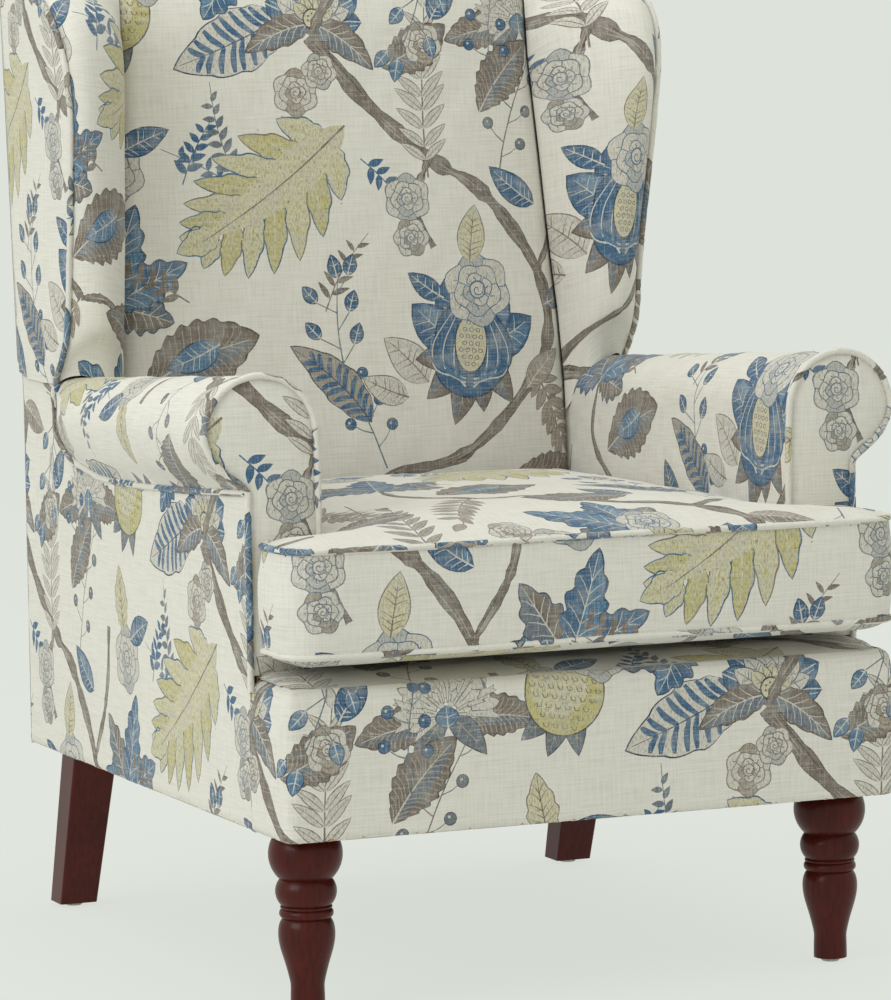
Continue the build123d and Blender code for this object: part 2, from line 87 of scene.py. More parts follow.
WELT_R = 0.0035
CLOTH = 0.0012
CELL = 0.008  # spacing of the points that a cover bends at


# ---------------------------------------------------------------- curves


def smooth(points, per_span=6, closed=False):
    """Catmull-Rom curve through the points."""
    p = np.asarray(points, float)
    if closed:
        ext = np.vstack([p[-1:], p, p[:2]])
    else:
        ext = np.vstack([2 * p[0] - p[1], p, 2 * p[-1] - p[-2]])
    t = np.linspace(0, 1, per_span, endpoint=False)[:, None]
    spans = []
    for a, b, c, d in zip(ext, ext[1:], ext[2:], ext[3:]):
        square, cube = 2 * a - 5 * b + 4 * c - d, 3 * b - a - 3 * c + d
        spans.append(0.5 * (2 * b + (c - a) * t + square * t**2 + cube * t**3))
    if not closed:
        spans.append(p[-1:])
    return np.vstack(spans)


def lengths(curve):
    """Distance along the curve at each point."""
    return np.concatenate([[0.0], np.cumsum(np.linalg.norm(np.diff(curve, axis=0), axis=1))])


def along(curve, wanted):
    """Points of the curve at the wanted distances."""
    s = lengths(curve)
    return np.stack([np.interp(wanted, s, curve[:, k]) for k in range(curve.shape[1])], axis=-1)


def evenly(curve, count):
    return along(curve, np.linspace(0, lengths(curve)[-1], count))


def dense(outline, step):
    """The closed outline with no edge longer than step."""
    p = np.asarray(outline, float)
    out = []
    for a, b in zip(p, np.roll(p, -1, axis=0)):
        parts = max(1, ceil(float(np.linalg.norm(b - a)) / step))
        t = np.arange(parts)[:, None] / parts
        out.append(a + (b - a) * t)
    return np.vstack(out)


def ease(t):
    t = np.clip(t, 0.0, 1.0)
    return t * t * (3 - 2 * t)


def edge_distance(points, outline):
    """Distance from each point of an (..., 2) array to the closed outline."""
    a = np.asarray(outline, float)
    b = np.roll(a, -1, axis=0)
    flat = points.reshape(-1, 2)
    best = np.full(len(flat), 1e9)
    for p, q in zip(a, b):
        d = q - p
        t = np.clip(((flat - p) @ d) / max(float(d @ d), 1e-12), 0, 1)
        best = np.minimum(best, np.linalg.norm(flat - p - t[:, None] * d, axis=1))
    return best.reshape(points.shape[:-1])


def ripple(x, y, seed=0.0):
    """Smooth pseudo-random height between -1 and 1."""
    h = np.sin(x * 61 + 1.7 * seed) * np.cos(y * 47 - seed) + 0.6 * np.sin(x * 113 - y * 83 + 2.1 * seed)
    return (h + 0.4 * np.cos(x * 199 + y * 151 + seed)) / 2.0


# ---------------------------------------------------------------- the print

INKS = {
    "cream": (0.66, 0.62, 0.54),
    "pale": (0.47, 0.47, 0.44),
    "blue": (0.034, 0.122, 0.240),
    "mid_blue": (0.090, 0.205, 0.330),
    "navy": (0.014, 0.038, 0.085),
    "taupe": (0.200, 0.160, 0.130),
    "sand": (0.380, 0.325, 0.255),
    "bark": (0.080, 0.064, 0.052),
    "yellow": (0.560, 0.500, 0.215),
    "straw": (0.640, 0.590, 0.390),
    "slate": (0.150, 0.180, 0.215),
}
TILE = np.array([0.590, 0.640])  # repeat of the print across and up
GROW = 1.13  # the motifs are drawn this much larger than their own sizes


class Drawing:
    """Inked shapes in the order they are printed: pairs of ink and closed outline."""

    def __init__(self):
        self.shapes = []

    def fill(self, ink, outline):
        self.shapes.append((ink, np.asarray(outline, float)))

    def line(self, ink, points, start, end=None, swell=0.0, per_span=4):
        """Brush line: its width runs from start to end and swells in between."""
        end = start if end is None else end
        curve = smooth(points, per_span) if len(points) > 2 else np.asarray(points, float)
        along_it = np.linspace(0, 1, len(curve))
        step = np.gradient(curve, axis=0)
        side = np.stack([-step[:, 1], step[:, 0]], axis=1)
        side /= np.maximum(np.linalg.norm(side, axis=1, keepdims=True), 1e-9)
        half = (start + (end - start) * along_it + swell * np.sin(pi * along_it)) / 2
        half = half[:, None]
        self.fill(ink, np.vstack([curve + side * half, (curve - side * half)[::-1]]))

    def dot(self, ink, at, r, squash=1.0, turn=0.0, sides=9):
        a = np.linspace(0, 2 * pi, sides, endpoint=False)
        p = np.stack([r * np.cos(a), r * squash * np.sin(a)], axis=1)
        self.fill(ink, rotate(p, turn) + np.asarray(at, float))

    def add(self, other, at=(0.0, 0.0), turn=0.0, size=1.0, flip=False):
        for ink, outline in other.shapes:
            p = outline * (-size if flip else size, size)
            self.fill(ink, rotate(p, turn) + np.asarray(at, float))
        return self


def rotate(points, degrees):
    c, s = cos(radians(degrees)), sin(radians(degrees))
    return np.asarray(points, float) @ np.array([[c, s], [-s, c]])


def blade(length, width, bend=0.0, peak=0.42, teeth=0, bite=0.0, grow=0.0, count=11):
    """Midrib and both edges of a leaf that grows along +Y and bends to +X."""
    n = max(count, 7 * teeth)
    t = np.linspace(0, 1, n)
    mid = np.stack([bend * t**2, length * t], axis=1)
    step = np.gradient(mid, axis=0)
    side = np.stack([-step[:, 1], step[:, 0]], axis=1)
    side /= np.linalg.norm(side, axis=1, keepdims=True)
    power = np.log(0.5) / np.log(peak)
    half = width / 2 * np.sin(pi * t**power) ** 0.85
    if teeth:
        saw = (t * teeth) % 1.0
        half = half * (1 - bite * np.where(saw > 0.75, (saw - 0.75) * 4, 1 - saw / 0.75) ** 1.4)
    half = (half + grow * (0.3 + 0.7 * np.sin(pi * t)))[:, None]
    return mid, mid + side * half, mid - side * half


def leaf(length, width, bend=0.0, fill="blue", edge="navy", vein="cream", shade=None, teeth=0, bite=0.0,
         veins=5, peak=0.42, rim=0.0011, rib=0.0011):
    """Leaf with a drawn edge, a midrib and side veins; shade fills one half."""
    d = Drawing()
    _, left, right = blade(length, width, bend, peak, teeth, bite, grow=rim)
    d.fill(edge, np.vstack([left, right[-2:0:-1]]))
    mid, left, right = blade(length * 0.985, width, bend * 0.97, peak, teeth, bite)
    d.fill(fill, np.vstack([left, right[-2:0:-1]]))
    n = len(mid)
    if shade:
        d.fill(shade, np.vstack([mid[1:-1], (mid * 0.12 + right * 0.88)[-2:0:-1]]))
    if veins:
        for k in range(veins):
            i = int(n * (0.10 + 0.72 * k / veins))
            j = min(n - 2, i + max(1, n // 7))
            for edge_line in (left, right):
                tip = mid[j] + (edge_line[j] - mid[j]) * 0.86
                bow = (mid[i] + tip) / 2 + (mid[j] - mid[i]) * 0.10
                d.line(vein, [mid[i], bow, tip], rib * 0.85, rib * 0.4, per_span=2)
        d.line(vein, mid[[0, n // 3, 2 * n // 3, n - 2]], rib * 1.4, rib * 0.5, per_span=3)
    return d


def striped_leaf(length, width, bend=0.0, stripe="blue", edge="navy", ground="cream", stripes=9):
    """Leaf whose halves carry slanted bars."""
    d = leaf(length, width, bend, fill=ground, edge=edge, veins=0, teeth=stripes // 2, bite=0.12)
    mid, left, right = blade(length * 0.97, width * 0.93, bend, count=41)
    n = len(mid)
    for k in range(stripes):
        i = int(n * (0.04 + 0.80 * k / stripes))
        j = min(n - 3, i + n // 10)
        wide = 0.5 * length / stripes
        for edge_line in (left, right):
            tip = mid[j] + (edge_line[j] - mid[j]) * 0.97
            bow = (mid[i] + tip) / 2 + (mid[j] - mid[i]) * 0.16
            d.line(stripe, [mid[i], bow, tip], wide * 0.55, wide * 0.5, swell=wide * 0.35, per_span=3)
    d.line(edge, mid[[0, n // 3, 2 * n // 3, n - 2]], 0.0016, 0.0006, per_span=3)
    return d


def feather_leaf(length, width, bend=0.0, fill="taupe", line="sand", edge="bark", shade="slate"):
    """Broad leaf filled with fine curved hatching."""
    d = leaf(length, width, bend, fill=fill, edge=edge, vein=line, teeth=8, bite=0.16, veins=0, peak=0.5)
    mid, left, right = blade(length * 0.96, width * 0.9, bend, peak=0.5, count=61)
    n = len(mid)
    d.fill(shade, np.vstack([mid[3:-3], (mid * 0.45 + right * 0.55)[-4:3:-1]]))
    for k in range(13):
        i = int(n * (0.03 + 0.80 * k / 13))
        j = min(n - 3, i + n // 7)
        for reach, edge_line in ((0.95, left), (0.92, right)):
            tip = mid[j] + (edge_line[j] - mid[j]) * reach
            bow = (mid[i] + tip) / 2 + (mid[j] - mid[i]) * 0.22
            d.line(line, [mid[i], bow, tip], 0.0008, 0.0011, per_span=3)
    d.line("cream", mid[[0, n // 3, 2 * n // 3, n - 4]], 0.0016, 0.0006, per_span=3)
    return d


def lobed_leaf(length=0.190, width=0.125):
    """Large leaf of finger lobes, straw inside with blue edges and flecks."""
    rng = np.random.default_rng(5)
    d = Drawing()
    mid, left, right = blade(length, width, 0.022, peak=0.40, count=41)
    for k in range(7):
        t = 0.14 + 0.74 * k / 6
        i = int(40 * t)
        reach = np.linalg.norm(left[i] - mid[i]) * 1.18 + 0.008
        for side in (-1, 1):
            edge = "blue" if (k + side) % 3 else "taupe"
            fill, vein = ("yellow", "straw") if k % 2 else ("straw", "yellow")
            finger = leaf(reach, 0.0285 - 0.0015 * k, 0.004 * side, fill=fill, edge=edge, vein=vein, teeth=3,
                          bite=0.22, veins=3, rim=0.0015)
            d.add(finger, mid[i], turn=side * (62 - 5 * k), flip=side < 0)
    tip = leaf(0.046, 0.027, 0.003, fill="straw", edge="blue", vein="yellow", teeth=3, bite=0.2, veins=3)
    d.add(tip, mid[34], turn=-14)
    _, body_left, body_right = blade(length * 0.92, width * 0.34, 0.020, peak=0.4, count=21)
    d.fill("straw", np.vstack([body_left, body_right[-2:0:-1]]))
    for k in range(7):
        i = int(40 * (0.14 + 0.74 * k / 6))
        for edge_line in (left, right):
            tip = mid[min(40, i + 5)] * 0.35 + edge_line[min(40, i + 5)] * 0.65
            d.line("cream", [mid[i], (mid[i] + tip) / 2 + (0, 0.002), tip], 0.0013, 0.0006, per_span=3)
    d.line("taupe", mid[[0, 13, 26, 38]], 0.0020, 0.0007)
    for _ in range(64):
        i = rng.integers(4, 38)
        side = left if rng.random() < 0.5 else right
        at = mid[i] + (side[i] - mid[i]) * rng.uniform(0.12, 0.92)
        ink = ("taupe", "slate", "cream")[rng.integers(0, 3)]
        d.dot(ink, at, rng.uniform(0.0007, 0.0013), squash=0.55, turn=rng.uniform(0, 180), sides=6)
    return d


def round_petal(r, spread, ink, edge, rim=0.0010, frill=0):
    """Petal from the origin outwards along +Y, with a scalloped outer edge."""
    a = np.linspace(-spread, spread, 5 + 3 * frill)
    wave = 1 + (0.09 * np.cos(a / spread * pi * frill) if frill else 0)
    outer = np.stack([np.sin(a) * r * wave, np.cos(a) * r * wave], axis=1)
    inner = np.stack([np.sin(a[::-1]) * r * 0.30, np.cos(a[::-1]) * r * 0.30], axis=1)
    d = Drawing()
    centre = np.array([0, r * 0.62])
    shape = np.vstack([outer, inner])
    d.fill(edge, shape)
    d.fill(ink, centre + (shape - centre) * (1 - 2.4 * rim / r))
    return d


def rose(r, ground="cream", edge="taupe", accent="sand"):
    """Open rose: three rings of petals round a coiled heart."""
    d = Drawing()
    for ring, (count, reach, start) in enumerate(((6, 1.0, 0), (5, 0.72, 25), (4, 0.46, 8))):
        for k in range(count):
            ink = accent if (k + ring) % 3 == 0 else ground
            petal = round_petal(r * reach, 0.62 + 0.06 * ring, ink, edge, rim=0.0009, frill=1)
            crease = [(0, r * reach * 0.45), (r * 0.05, r * reach * 0.62), (0, r * reach * 0.80)]
            petal.line(edge, crease, 0.0008)
            d.add(petal, turn=start + k * 360 / count)
    d.dot(edge, (0, 0), r * 0.27, sides=12)
    d.dot(ground, (0, 0), r * 0.22, sides=12)
    turns = [(a, 0.02 + 0.028 * a) for a in np.linspace(0, 6.6, 12)]
    spiral = [(cos(a) * r * reach, sin(a) * r * reach) for a, reach in turns]
    d.line(edge, spiral, 0.0010, per_span=2)
    return d


def fan_flower():
    """Exotic bloom: a fan of barred blue petals over pale ones, with a seeded heart."""
    d = Drawing()
    for k in range(7):
        turn = -78 + 26 * k
        petal = leaf(0.062 - 0.004 * abs(k - 3), 0.027, 0.004, fill="blue", edge="navy", vein="mid_blue",
                     shade="mid_blue", veins=5, peak=0.62)
        petal.line("cream", [(0, 0.018), (0.001, 0.034), (0.003, 0.050)], 0.0020, 0.0010)
        petal.line("cream", [(0.004, 0.026), (0.006, 0.038), (0.006, 0.046)], 0.0012, 0.0006)
        d.add(petal, turn=turn)
    for k in range(6):
        turn = -65 + 26 * k
        petal = leaf(0.041, 0.017, 0.0, fill="cream", edge="navy", vein="slate", veins=3, peak=0.6)
        d.add(petal, turn=turn)
    for side in (-1, 1):
        wing = leaf(0.072, 0.030, 0.020, fill="taupe", edge="bark", vein="cream", shade="slate", veins=6,
                    teeth=4, bite=0.15)
        d.add(wing, turn=side * 104, flip=side > 0)
    for k in range(5):
        sepal = leaf(0.026, 0.012, fill="straw", edge="bark", vein="taupe", veins=2, peak=0.6)
        d.add(sepal, turn=-50 + 25 * k)
    d.dot("navy", (0, 0.004), 0.0105, sides=14)
    d.dot("straw", (0, 0.004), 0.0090, sides=14)
    for k in range(7):
        a = k * 2 * pi / 7
        d.dot("bark", (0.0052 * cos(a), 0.004 + 0.0052 * sin(a)), 0.0010, sides=6)
    return d


def pomegranate():
    """Split fruit in blue with pale seeds, wrapped in leaves."""
    d = Drawing()
    for turn, long in ((150, 0.070), (205, 0.064), (118, 0.060), (-128, 0.070), (178, 0.078)):
        wrap = leaf(long, 0.030, 0.012, fill="taupe", edge="bark", vein="sand", shade="slate", veins=6)
        d.add(wrap, turn=turn)
    for turn in (-64, -32, 30, 62):
        d.add(leaf(0.078, 0.040, 0.010 if turn > 0 else -0.010, fill="blue", edge="navy", vein="cream",
                   shade="mid_blue", veins=7, peak=0.55), (0, -0.010), turn=turn)
    a = np.linspace(0, 2 * pi, 30, endpoint=False)
    body = np.stack([0.043 * np.cos(a) * (1 + 0.08 * np.cos(3 * a)), 0.047 * np.sin(a) - 0.004], axis=1)
    d.fill("navy", body)
    d.fill("blue", body * 0.965)
    for side in (-1, 1):
        for k in range(3):
            reach = 0.016 + 0.010 * k
            light = [(side * 0.004, -0.040 + 0.004 * k), (side * reach, -0.026), (side * reach * 1.10, 0.0),
                     (side * reach * 0.6, 0.030)]
            shade = [(side * 0.006, -0.034), (side * (reach + 0.004), -0.018),
                     (side * (reach + 0.005), 0.010)]
            d.line("cream", light, 0.0018, 0.0008)
            d.line("mid_blue", shade, 0.0030, 0.0012)
    heart = np.stack([0.0165 * np.cos(a), 0.027 * np.sin(a) + 0.002], axis=1)
    d.fill("navy", heart * 1.10)
    d.fill("straw", heart)
    for row in range(7):
        for k in range(4):
            x = (k - 1.5 + 0.5 * (row % 2)) * 0.0070
            y = -0.018 + row * 0.0066
            if (x / 0.0150) ** 2 + ((y - 0.002) / 0.025) ** 2 < 0.85:
                d.dot("bark", (x, y), 0.0026, squash=0.8, sides=8)
                d.dot("cream", (x, y), 0.0018, squash=0.8, sides=7)
    for turn in (-26, 0, 26):
        d.add(leaf(0.030, 0.015, fill="cream", edge="navy", vein="slate", veins=3), (0, 0.036), turn=turn)
    return d


def carnation():
    """Frilled pale flower between two dark leaves."""
    d = Drawing()
    for side in (-1, 1):
        d.add(feather_leaf(0.078, 0.036, 0.016), (side * 0.006, -0.006), turn=-side * 84, flip=side < 0)
        dark = leaf(0.050, 0.020, 0.010, fill="slate", edge="bark", vein="sand", veins=4)
        d.add(dark, turn=-side * 128, flip=side < 0)
    for ring, (count, reach) in enumerate(((7, 0.046), (5, 0.034), (4, 0.022))):
        for k in range(count):
            turn = -84 + 168 * (k + 0.5 * (ring % 2)) / (count - 1)
            petal = round_petal(reach, 0.30, "cream", "bark", rim=0.0009, frill=2)
            for x in (-0.12, 0.12):
                crease = [(x * reach * 0.4, reach * 0.5), (x * reach, reach * 0.84)]
                petal.line("slate", crease, 0.0010, 0.0005)
            d.add(petal, turn=turn)
    d.add(leaf(0.020, 0.020, fill="mid_blue", edge="navy", vein="cream", veins=2, peak=0.5), (0, -0.012))
    return d


def round_fruit():
    """Globe of overlapping scales with a small crown."""
    d = Drawing()
    for turn in (-150, 150, 180):
        d.add(leaf(0.056, 0.022, 0.008, fill="slate", edge="bark", vein="sand", veins=5), turn=turn)
    d.dot("bark", (0, 0), 0.0375, sides=30)
    d.dot("yellow", (0, 0), 0.0362, sides=30)
    d.dot("straw", (-0.006, 0.006), 0.0270, sides=24)
    for row in range(8):
        for k in range(8):
            x = (k - 3.5 + 0.5 * (row % 2)) * 0.0088
            y = (row - 3.5) * 0.0082
            if x * x + y * y < 0.0320**2:
                curl = [(x - 0.0030, y + 0.0012), (x - 0.0012, y - 0.0020), (x + 0.0022, y - 0.0012),
                        (x + 0.0014, y + 0.0014)]
                d.line("taupe" if (row + k) % 3 else "slate", curl, 0.0009, 0.0006, per_span=2)
    for turn in (-30, 0, 30):
        d.add(leaf(0.022, 0.010, fill="cream", edge="bark", vein="slate", veins=2), (0, 0.034), turn=turn)
    return d


def fern(length=0.165, pairs=9, fill="cream", edge="taupe", bend=0.02, leaflet=0.036, width=0.0095):
    """Spray of long narrow leaflets in pairs."""
    d = Drawing()
    mid, _, _ = blade(length, 0.02, bend, count=41)
    d.line(edge, mid[[0, 13, 26, 40]], 0.0020, 0.0010)
    for k in range(pairs):
        i = int(4 + 33 * k / pairs)
        size = 1.0 - 0.45 * abs(k / pairs - 0.35)
        for side in (-1, 1):
            long = leaflet * size
            one = leaf(long, width * size, 0.004, fill=fill, edge=edge, vein=edge, veins=0, rim=0.0009)
            one.line(edge, [(0, 0.002), (0.001, long * 0.5), (0.003, long * 0.85)], 0.0008, 0.0005)
            d.add(one, mid[i], turn=-side * (46 - 12 * k / pairs), flip=side < 0)
    d.add(leaf(leaflet * 0.8, width, fill=fill, edge=edge, vein=edge, veins=0), mid[38])
    return d


def sprig(length=0.110, pairs=6, ink="blue", bend=0.03, leaflet=0.017, width=0.0075):
    """Fine stem with small pointed leaves."""
    d = Drawing()
    mid, _, _ = blade(length, 0.02, bend, count=41)
    d.line(ink, mid[[0, 13, 26, 40]], 0.0014, 0.0007)
    for k in range(pairs):
        i = int(6 + 31 * k / pairs)
        for side in (-1, 1):
            j = min(40, i + (2 if side > 0 else 0))
            long, wide = leaflet * (1 - 0.4 * k / pairs), width * (1 - 0.3 * k / pairs)
            _, left, right = blade(long, wide, 0.002, count=8)
            tiny = Drawing()
            tiny.fill(ink, np.vstack([left, right[-2:0:-1]]))
            d.add(tiny, mid[j], turn=-side * 48, flip=side < 0)
    return d


def berries(length=0.150, count=7, ink="blue", stem="taupe", bend=0.03, size=0.0052):
    """Forked stem with round fruit."""
    d = Drawing()
    mid, _, _ = blade(length, 0.02, bend, count=41)
    d.line(stem, mid[[0, 13, 26, 40]], 0.0017, 0.0009)
    for k in range(count):
        i = int(8 + 32 * k / count)
        side = -1 if k % 2 else 1
        tip = mid[i] + rotate([(side * 0.020, 0.016)], 0)[0] * (1 - 0.25 * k / count)
        d.line(stem, [mid[i], mid[i] * 0.5 + tip * 0.5 + (0, -0.002), tip], 0.0012, 0.0008, per_span=3)
        d.dot("navy" if ink == "blue" else "bark", tip, size * 1.16, sides=12)
        d.dot(ink, tip, size, sides=12)
        d.dot("cream", tip + (-0.0012, 0.0014), size * 0.26, sides=6)
    d.dot("navy" if ink == "blue" else "bark", mid[40], size * 1.05, sides=12)
    d.dot(ink, mid[40], size * 0.9, sides=12)
    return d


def bud_spray(length=0.120, ink="mid_blue", stem="slate"):
    """Stem with plump buds that open upwards."""
    d = Drawing()
    mid, _, _ = blade(length, 0.02, 0.02, count=41)
    d.line(stem, mid[[0, 13, 26, 40]], 0.0018, 0.0009)
    for k in range(5):
        i = int(6 + 34 * k / 5)
        side = -1 if k % 2 else 1
        tip = mid[i] + np.array([side * 0.016, 0.014])
        d.line(stem, [mid[i], tip], 0.0011)
        d.add(leaf(0.022, 0.0125, 0.001, fill=ink, edge="navy", vein="cream", veins=2, peak=0.45), tip,
              turn=-side * 30)
    d.add(leaf(0.024, 0.013, 0.0, fill=ink, edge="navy", vein="cream", veins=2), mid[39])
    return d


def branch(points, width, seed=1, ink="taupe"):
    """Bark-covered bough with knots and light streaks."""
    rng = np.random.default_rng(seed)
    d = Drawing()
    curve = smooth(points, 10)
    n = len(curve)
    step = np.gradient(curve, axis=0)
    side = np.stack([-step[:, 1], step[:, 0]], axis=1)
    side /= np.linalg.norm(side, axis=1, keepdims=True)
    knots = 1 + 0.22 * np.sin(np.arange(n) * 0.9 + seed) + 0.14 * rng.standard_normal(n)
    half = (width / 2 * np.linspace(1, 0.62, n) * knots)[:, None]
    d.fill("bark", np.vstack([curve + side * (half + 0.0008), (curve - side * (half + 0.0008))[::-1]]))
    d.fill(ink, np.vstack([curve + side * half, (curve - side * half)[::-1]]))
    for lane in (-0.45, 0.05, 0.5):
        start = 1
        while start < n - 6:
            stop = min(n - 2, start + int(rng.integers(5, 12)))
            stretch = curve[start:stop] + side[start:stop] * half[start:stop] * lane
            if len(stretch) > 3:
                streak = stretch[:: max(1, len(stretch) // 3)]
                d.line("sand" if lane < 0.2 else "bark", streak, 0.0005, 0.0004, swell=0.0013, per_span=3)
            start = stop + int(rng.integers(2, 5))
    return d


def maple():
    """Broad serrated leaf of blue and slate blades."""
    d = Drawing()
    for turn, long, ink, shade in ((-96, 0.060, "slate", "taupe"), (88, 0.064, "blue", "mid_blue"),
                                   (-52, 0.082, "blue", "mid_blue"), (46, 0.084, "slate", "taupe"),
                                   (-6, 0.098, "blue", "mid_blue")):
        d.add(leaf(long, 0.044, 0.004, fill=ink, edge="navy", vein="cream", shade=shade, teeth=5, bite=0.34,
                   veins=6), turn=turn)
    return d


def tile_drawing():
    """One repeat of the print, drawn in the cloth's own metres."""
    d = Drawing()

    def put(motif, at, turn=0.0):
        d.add(motif, at, turn=turn, size=GROW)

    # boughs
    main_bough = [(-0.030, 0.485), (0.030, 0.412), (0.100, 0.352), (0.165, 0.312), (0.226, 0.228),
                  (0.234, 0.150), (0.190, 0.085), (0.120, 0.030), (0.035, 0.012), (-0.020, -0.020)]
    d.add(branch(main_bough, 0.0150, 1))
    d.add(branch([(0.100, 0.352), (0.080, 0.300), (0.100, 0.255)], 0.0080, 2))
    d.add(branch([(0.226, 0.228), (0.268, 0.300), (0.280, 0.372)], 0.0090, 3))
    d.add(branch([(-0.020, -0.020), (-0.100, 0.020), (-0.160, 0.070), (-0.215, 0.075)], 0.0110, 4))
    d.add(branch([(-0.020, -0.020), (0.020, -0.075), (-0.014, -0.128), (-0.030, -0.155)], 0.0130, 5))
    d.add(branch([(0.035, 0.012), (0.090, -0.030), (0.160, -0.046)], 0.0085, 6))
    d.add(branch([(-0.215, 0.075), (-0.268, 0.130), (-0.262, 0.200)], 0.0085, 7))
    # sprays
    put(fern(0.170, 9), (0.098, 0.330), turn=4)
    put(berries(0.150, 7, "slate"), (0.182, 0.318), turn=-10)
    put(sprig(0.120, 7, "blue", -0.030), (-0.085, 0.290), turn=42)
    put(sprig(0.095, 6, "slate", 0.024), (-0.118, 0.330), turn=28)
    put(sprig(0.062, 4, "blue", 0.010), (0.020, 0.352), turn=-128)
    put(berries(0.110, 6, "blue", "slate", -0.02), (0.030, 0.020), turn=16)
    put(berries(0.120, 6, "taupe", "taupe", 0.02, 0.0045), (0.262, 0.130), turn=176)
    put(fern(0.120, 7, fill="sand", edge="taupe", bend=-0.03, leaflet=0.030), (-0.215, 0.080), turn=140)
    put(bud_spray(0.125), (0.120, -0.050), turn=168)
    put(fern(0.150, 8, "sand", "slate", 0.03, leaflet=0.034, width=0.0080), (0.262, -0.118), turn=6)
    put(sprig(0.085, 5, "taupe", 0.02, 0.020, 0.006), (-0.030, 0.190), turn=-20)
    put(fern(0.090, 6, fill="sand", edge="taupe", leaflet=0.026), (0.215, 0.120), turn=-150)
    # leaves
    put(striped_leaf(0.120, 0.062, 0.010), (-0.058, 0.506), turn=118)
    put(lobed_leaf(), (0.004, 0.388), turn=132)
    put(feather_leaf(0.118, 0.068, 0.022), (-0.232, 0.118), turn=-58)
    put(striped_leaf(0.105, 0.038, -0.026, "blue", "navy", "sand", 9), (0.015, 0.070), turn=32)
    put(maple(), (-0.262, 0.205), turn=-8)
    put(leaf(0.062, 0.034, -0.008, "cream", "taupe", "taupe", veins=5), (0.085, 0.110), turn=38)
    put(leaf(0.050, 0.026, 0.008, "cream", "taupe", "taupe", veins=5), (0.060, 0.095), turn=75)
    put(leaf(0.052, 0.022, 0.006, "sand", "taupe", "cream", veins=5), (0.205, 0.100), turn=-38)
    put(leaf(0.046, 0.020, -0.006, "slate", "navy", "cream", veins=4), (0.232, 0.190), turn=-70)
    put(striped_leaf(0.095, 0.046, 0.012, "mid_blue", "navy", "cream", 8), (-0.140, -0.020), turn=196)
    put(leaf(0.060, 0.026, 0.010, "blue", "navy", "cream", "mid_blue", veins=6), (0.228, 0.300), turn=62)
    put(feather_leaf(0.085, 0.042, -0.016), (0.185, 0.010), turn=-100)
    # flowers
    put(fan_flower(), (-0.026, 0.498), turn=-8)
    put(rose(0.022), (-0.050, 0.424))
    put(rose(0.017, accent="pale"), (-0.022, 0.446), turn=20)
    put(rose(0.023, edge="slate", accent="pale"), (0.072, 0.308))
    put(rose(0.018, edge="slate"), (0.074, 0.266), turn=30)
    put(pomegranate(), (0.138, 0.148), turn=-6)
    put(rose(0.034, edge="blue", accent="pale"), (0.150, 0.208), turn=10)
    put(leaf(0.056, 0.028, 0.004, "straw", "taupe", "taupe", veins=6), (0.142, 0.238), turn=-6)
    put(leaf(0.044, 0.020, 0.004, "blue", "navy", "cream", veins=4), (0.108, 0.200), turn=60)
    put(carnation(), (0.222, 0.500), turn=4)
    put(round_fruit(), (-0.245, 0.513), turn=-10)
    put(maple(), (-0.110, -0.075), turn=64)
    put(rose(0.026, edge="blue", accent="pale"), (-0.092, -0.062), turn=12)
    put(rose(0.024, accent="pale", edge="taupe"), (-0.205, -0.092))
    put(rose(0.019, accent="sand", edge="taupe"), (-0.238, -0.066), turn=40)
    put(rose(0.030, edge="slate", accent="pale"), (-0.255, 0.345), turn=10)
    put(leaf(0.052, 0.024, 0.006, "blue", "navy", "cream", veins=5), (-0.245, 0.365), turn=-60)
    toothed = leaf(0.060, 0.030, 0.006, "straw", "taupe", "taupe", veins=6, teeth=4, bite=0.2)
    put(toothed, (-0.262, 0.372), turn=18)
    # small leaves and flowers between the boughs
    put(feather_leaf(0.096, 0.052, 0.020), (-0.060, 0.050), turn=96)
    put(leaf(0.060, 0.028, 0.010, "slate", "navy", "cream", "blue", veins=6), (-0.052, 0.052), turn=40)
    put(sprig(0.078, 5, "taupe", -0.014, 0.018, 0.007), (-0.180, 0.205), turn=52)
    put(bud_spray(0.095, "blue"), (-0.010, 0.118), turn=14)
    put(feather_leaf(0.080, 0.044, -0.014), (0.050, 0.450), turn=-70)
    put(rose(0.020, edge="taupe", accent="sand"), (0.100, 0.475), turn=15)
    put(leaf(0.050, 0.024, 0.006, "blue", "navy", "cream", veins=5), (0.112, 0.500), turn=-30)
    put(sprig(0.070, 5, "blue", 0.012), (-0.180, 0.330), turn=-18)
    put(leaf(0.058, 0.026, -0.008, "sand", "taupe", "cream", "taupe", veins=6), (0.020, -0.055), turn=-120)
    put(feather_leaf(0.090, 0.046, 0.016), (0.165, 0.400), turn=-30)
    put(berries(0.090, 5, "blue", "slate", 0.02), (0.185, 0.425), turn=10)
    put(leaf(0.056, 0.026, 0.008, "mid_blue", "navy", "cream", veins=5), (-0.150, 0.160), turn=120)
    return d


def plainer(outline, away=0.00022):
    """The outline without the points that hardly stand off the line between their neighbours."""
    for _ in range(3):
        if len(outline) < 7:
            break
        before, after = np.roll(outline, 1, axis=0), np.roll(outline, -1, axis=0)
        chord, arm = after - before, outline - before
        off = np.abs(chord[:, 0] * arm[:, 1] - chord[:, 1] * arm[:, 0])
        flat = off < away * np.maximum(np.linalg.norm(chord, axis=1), 1e-9)
        flat[::2] = False
        outline = np.roll(outline[~flat], 1, axis=0)
    return outline


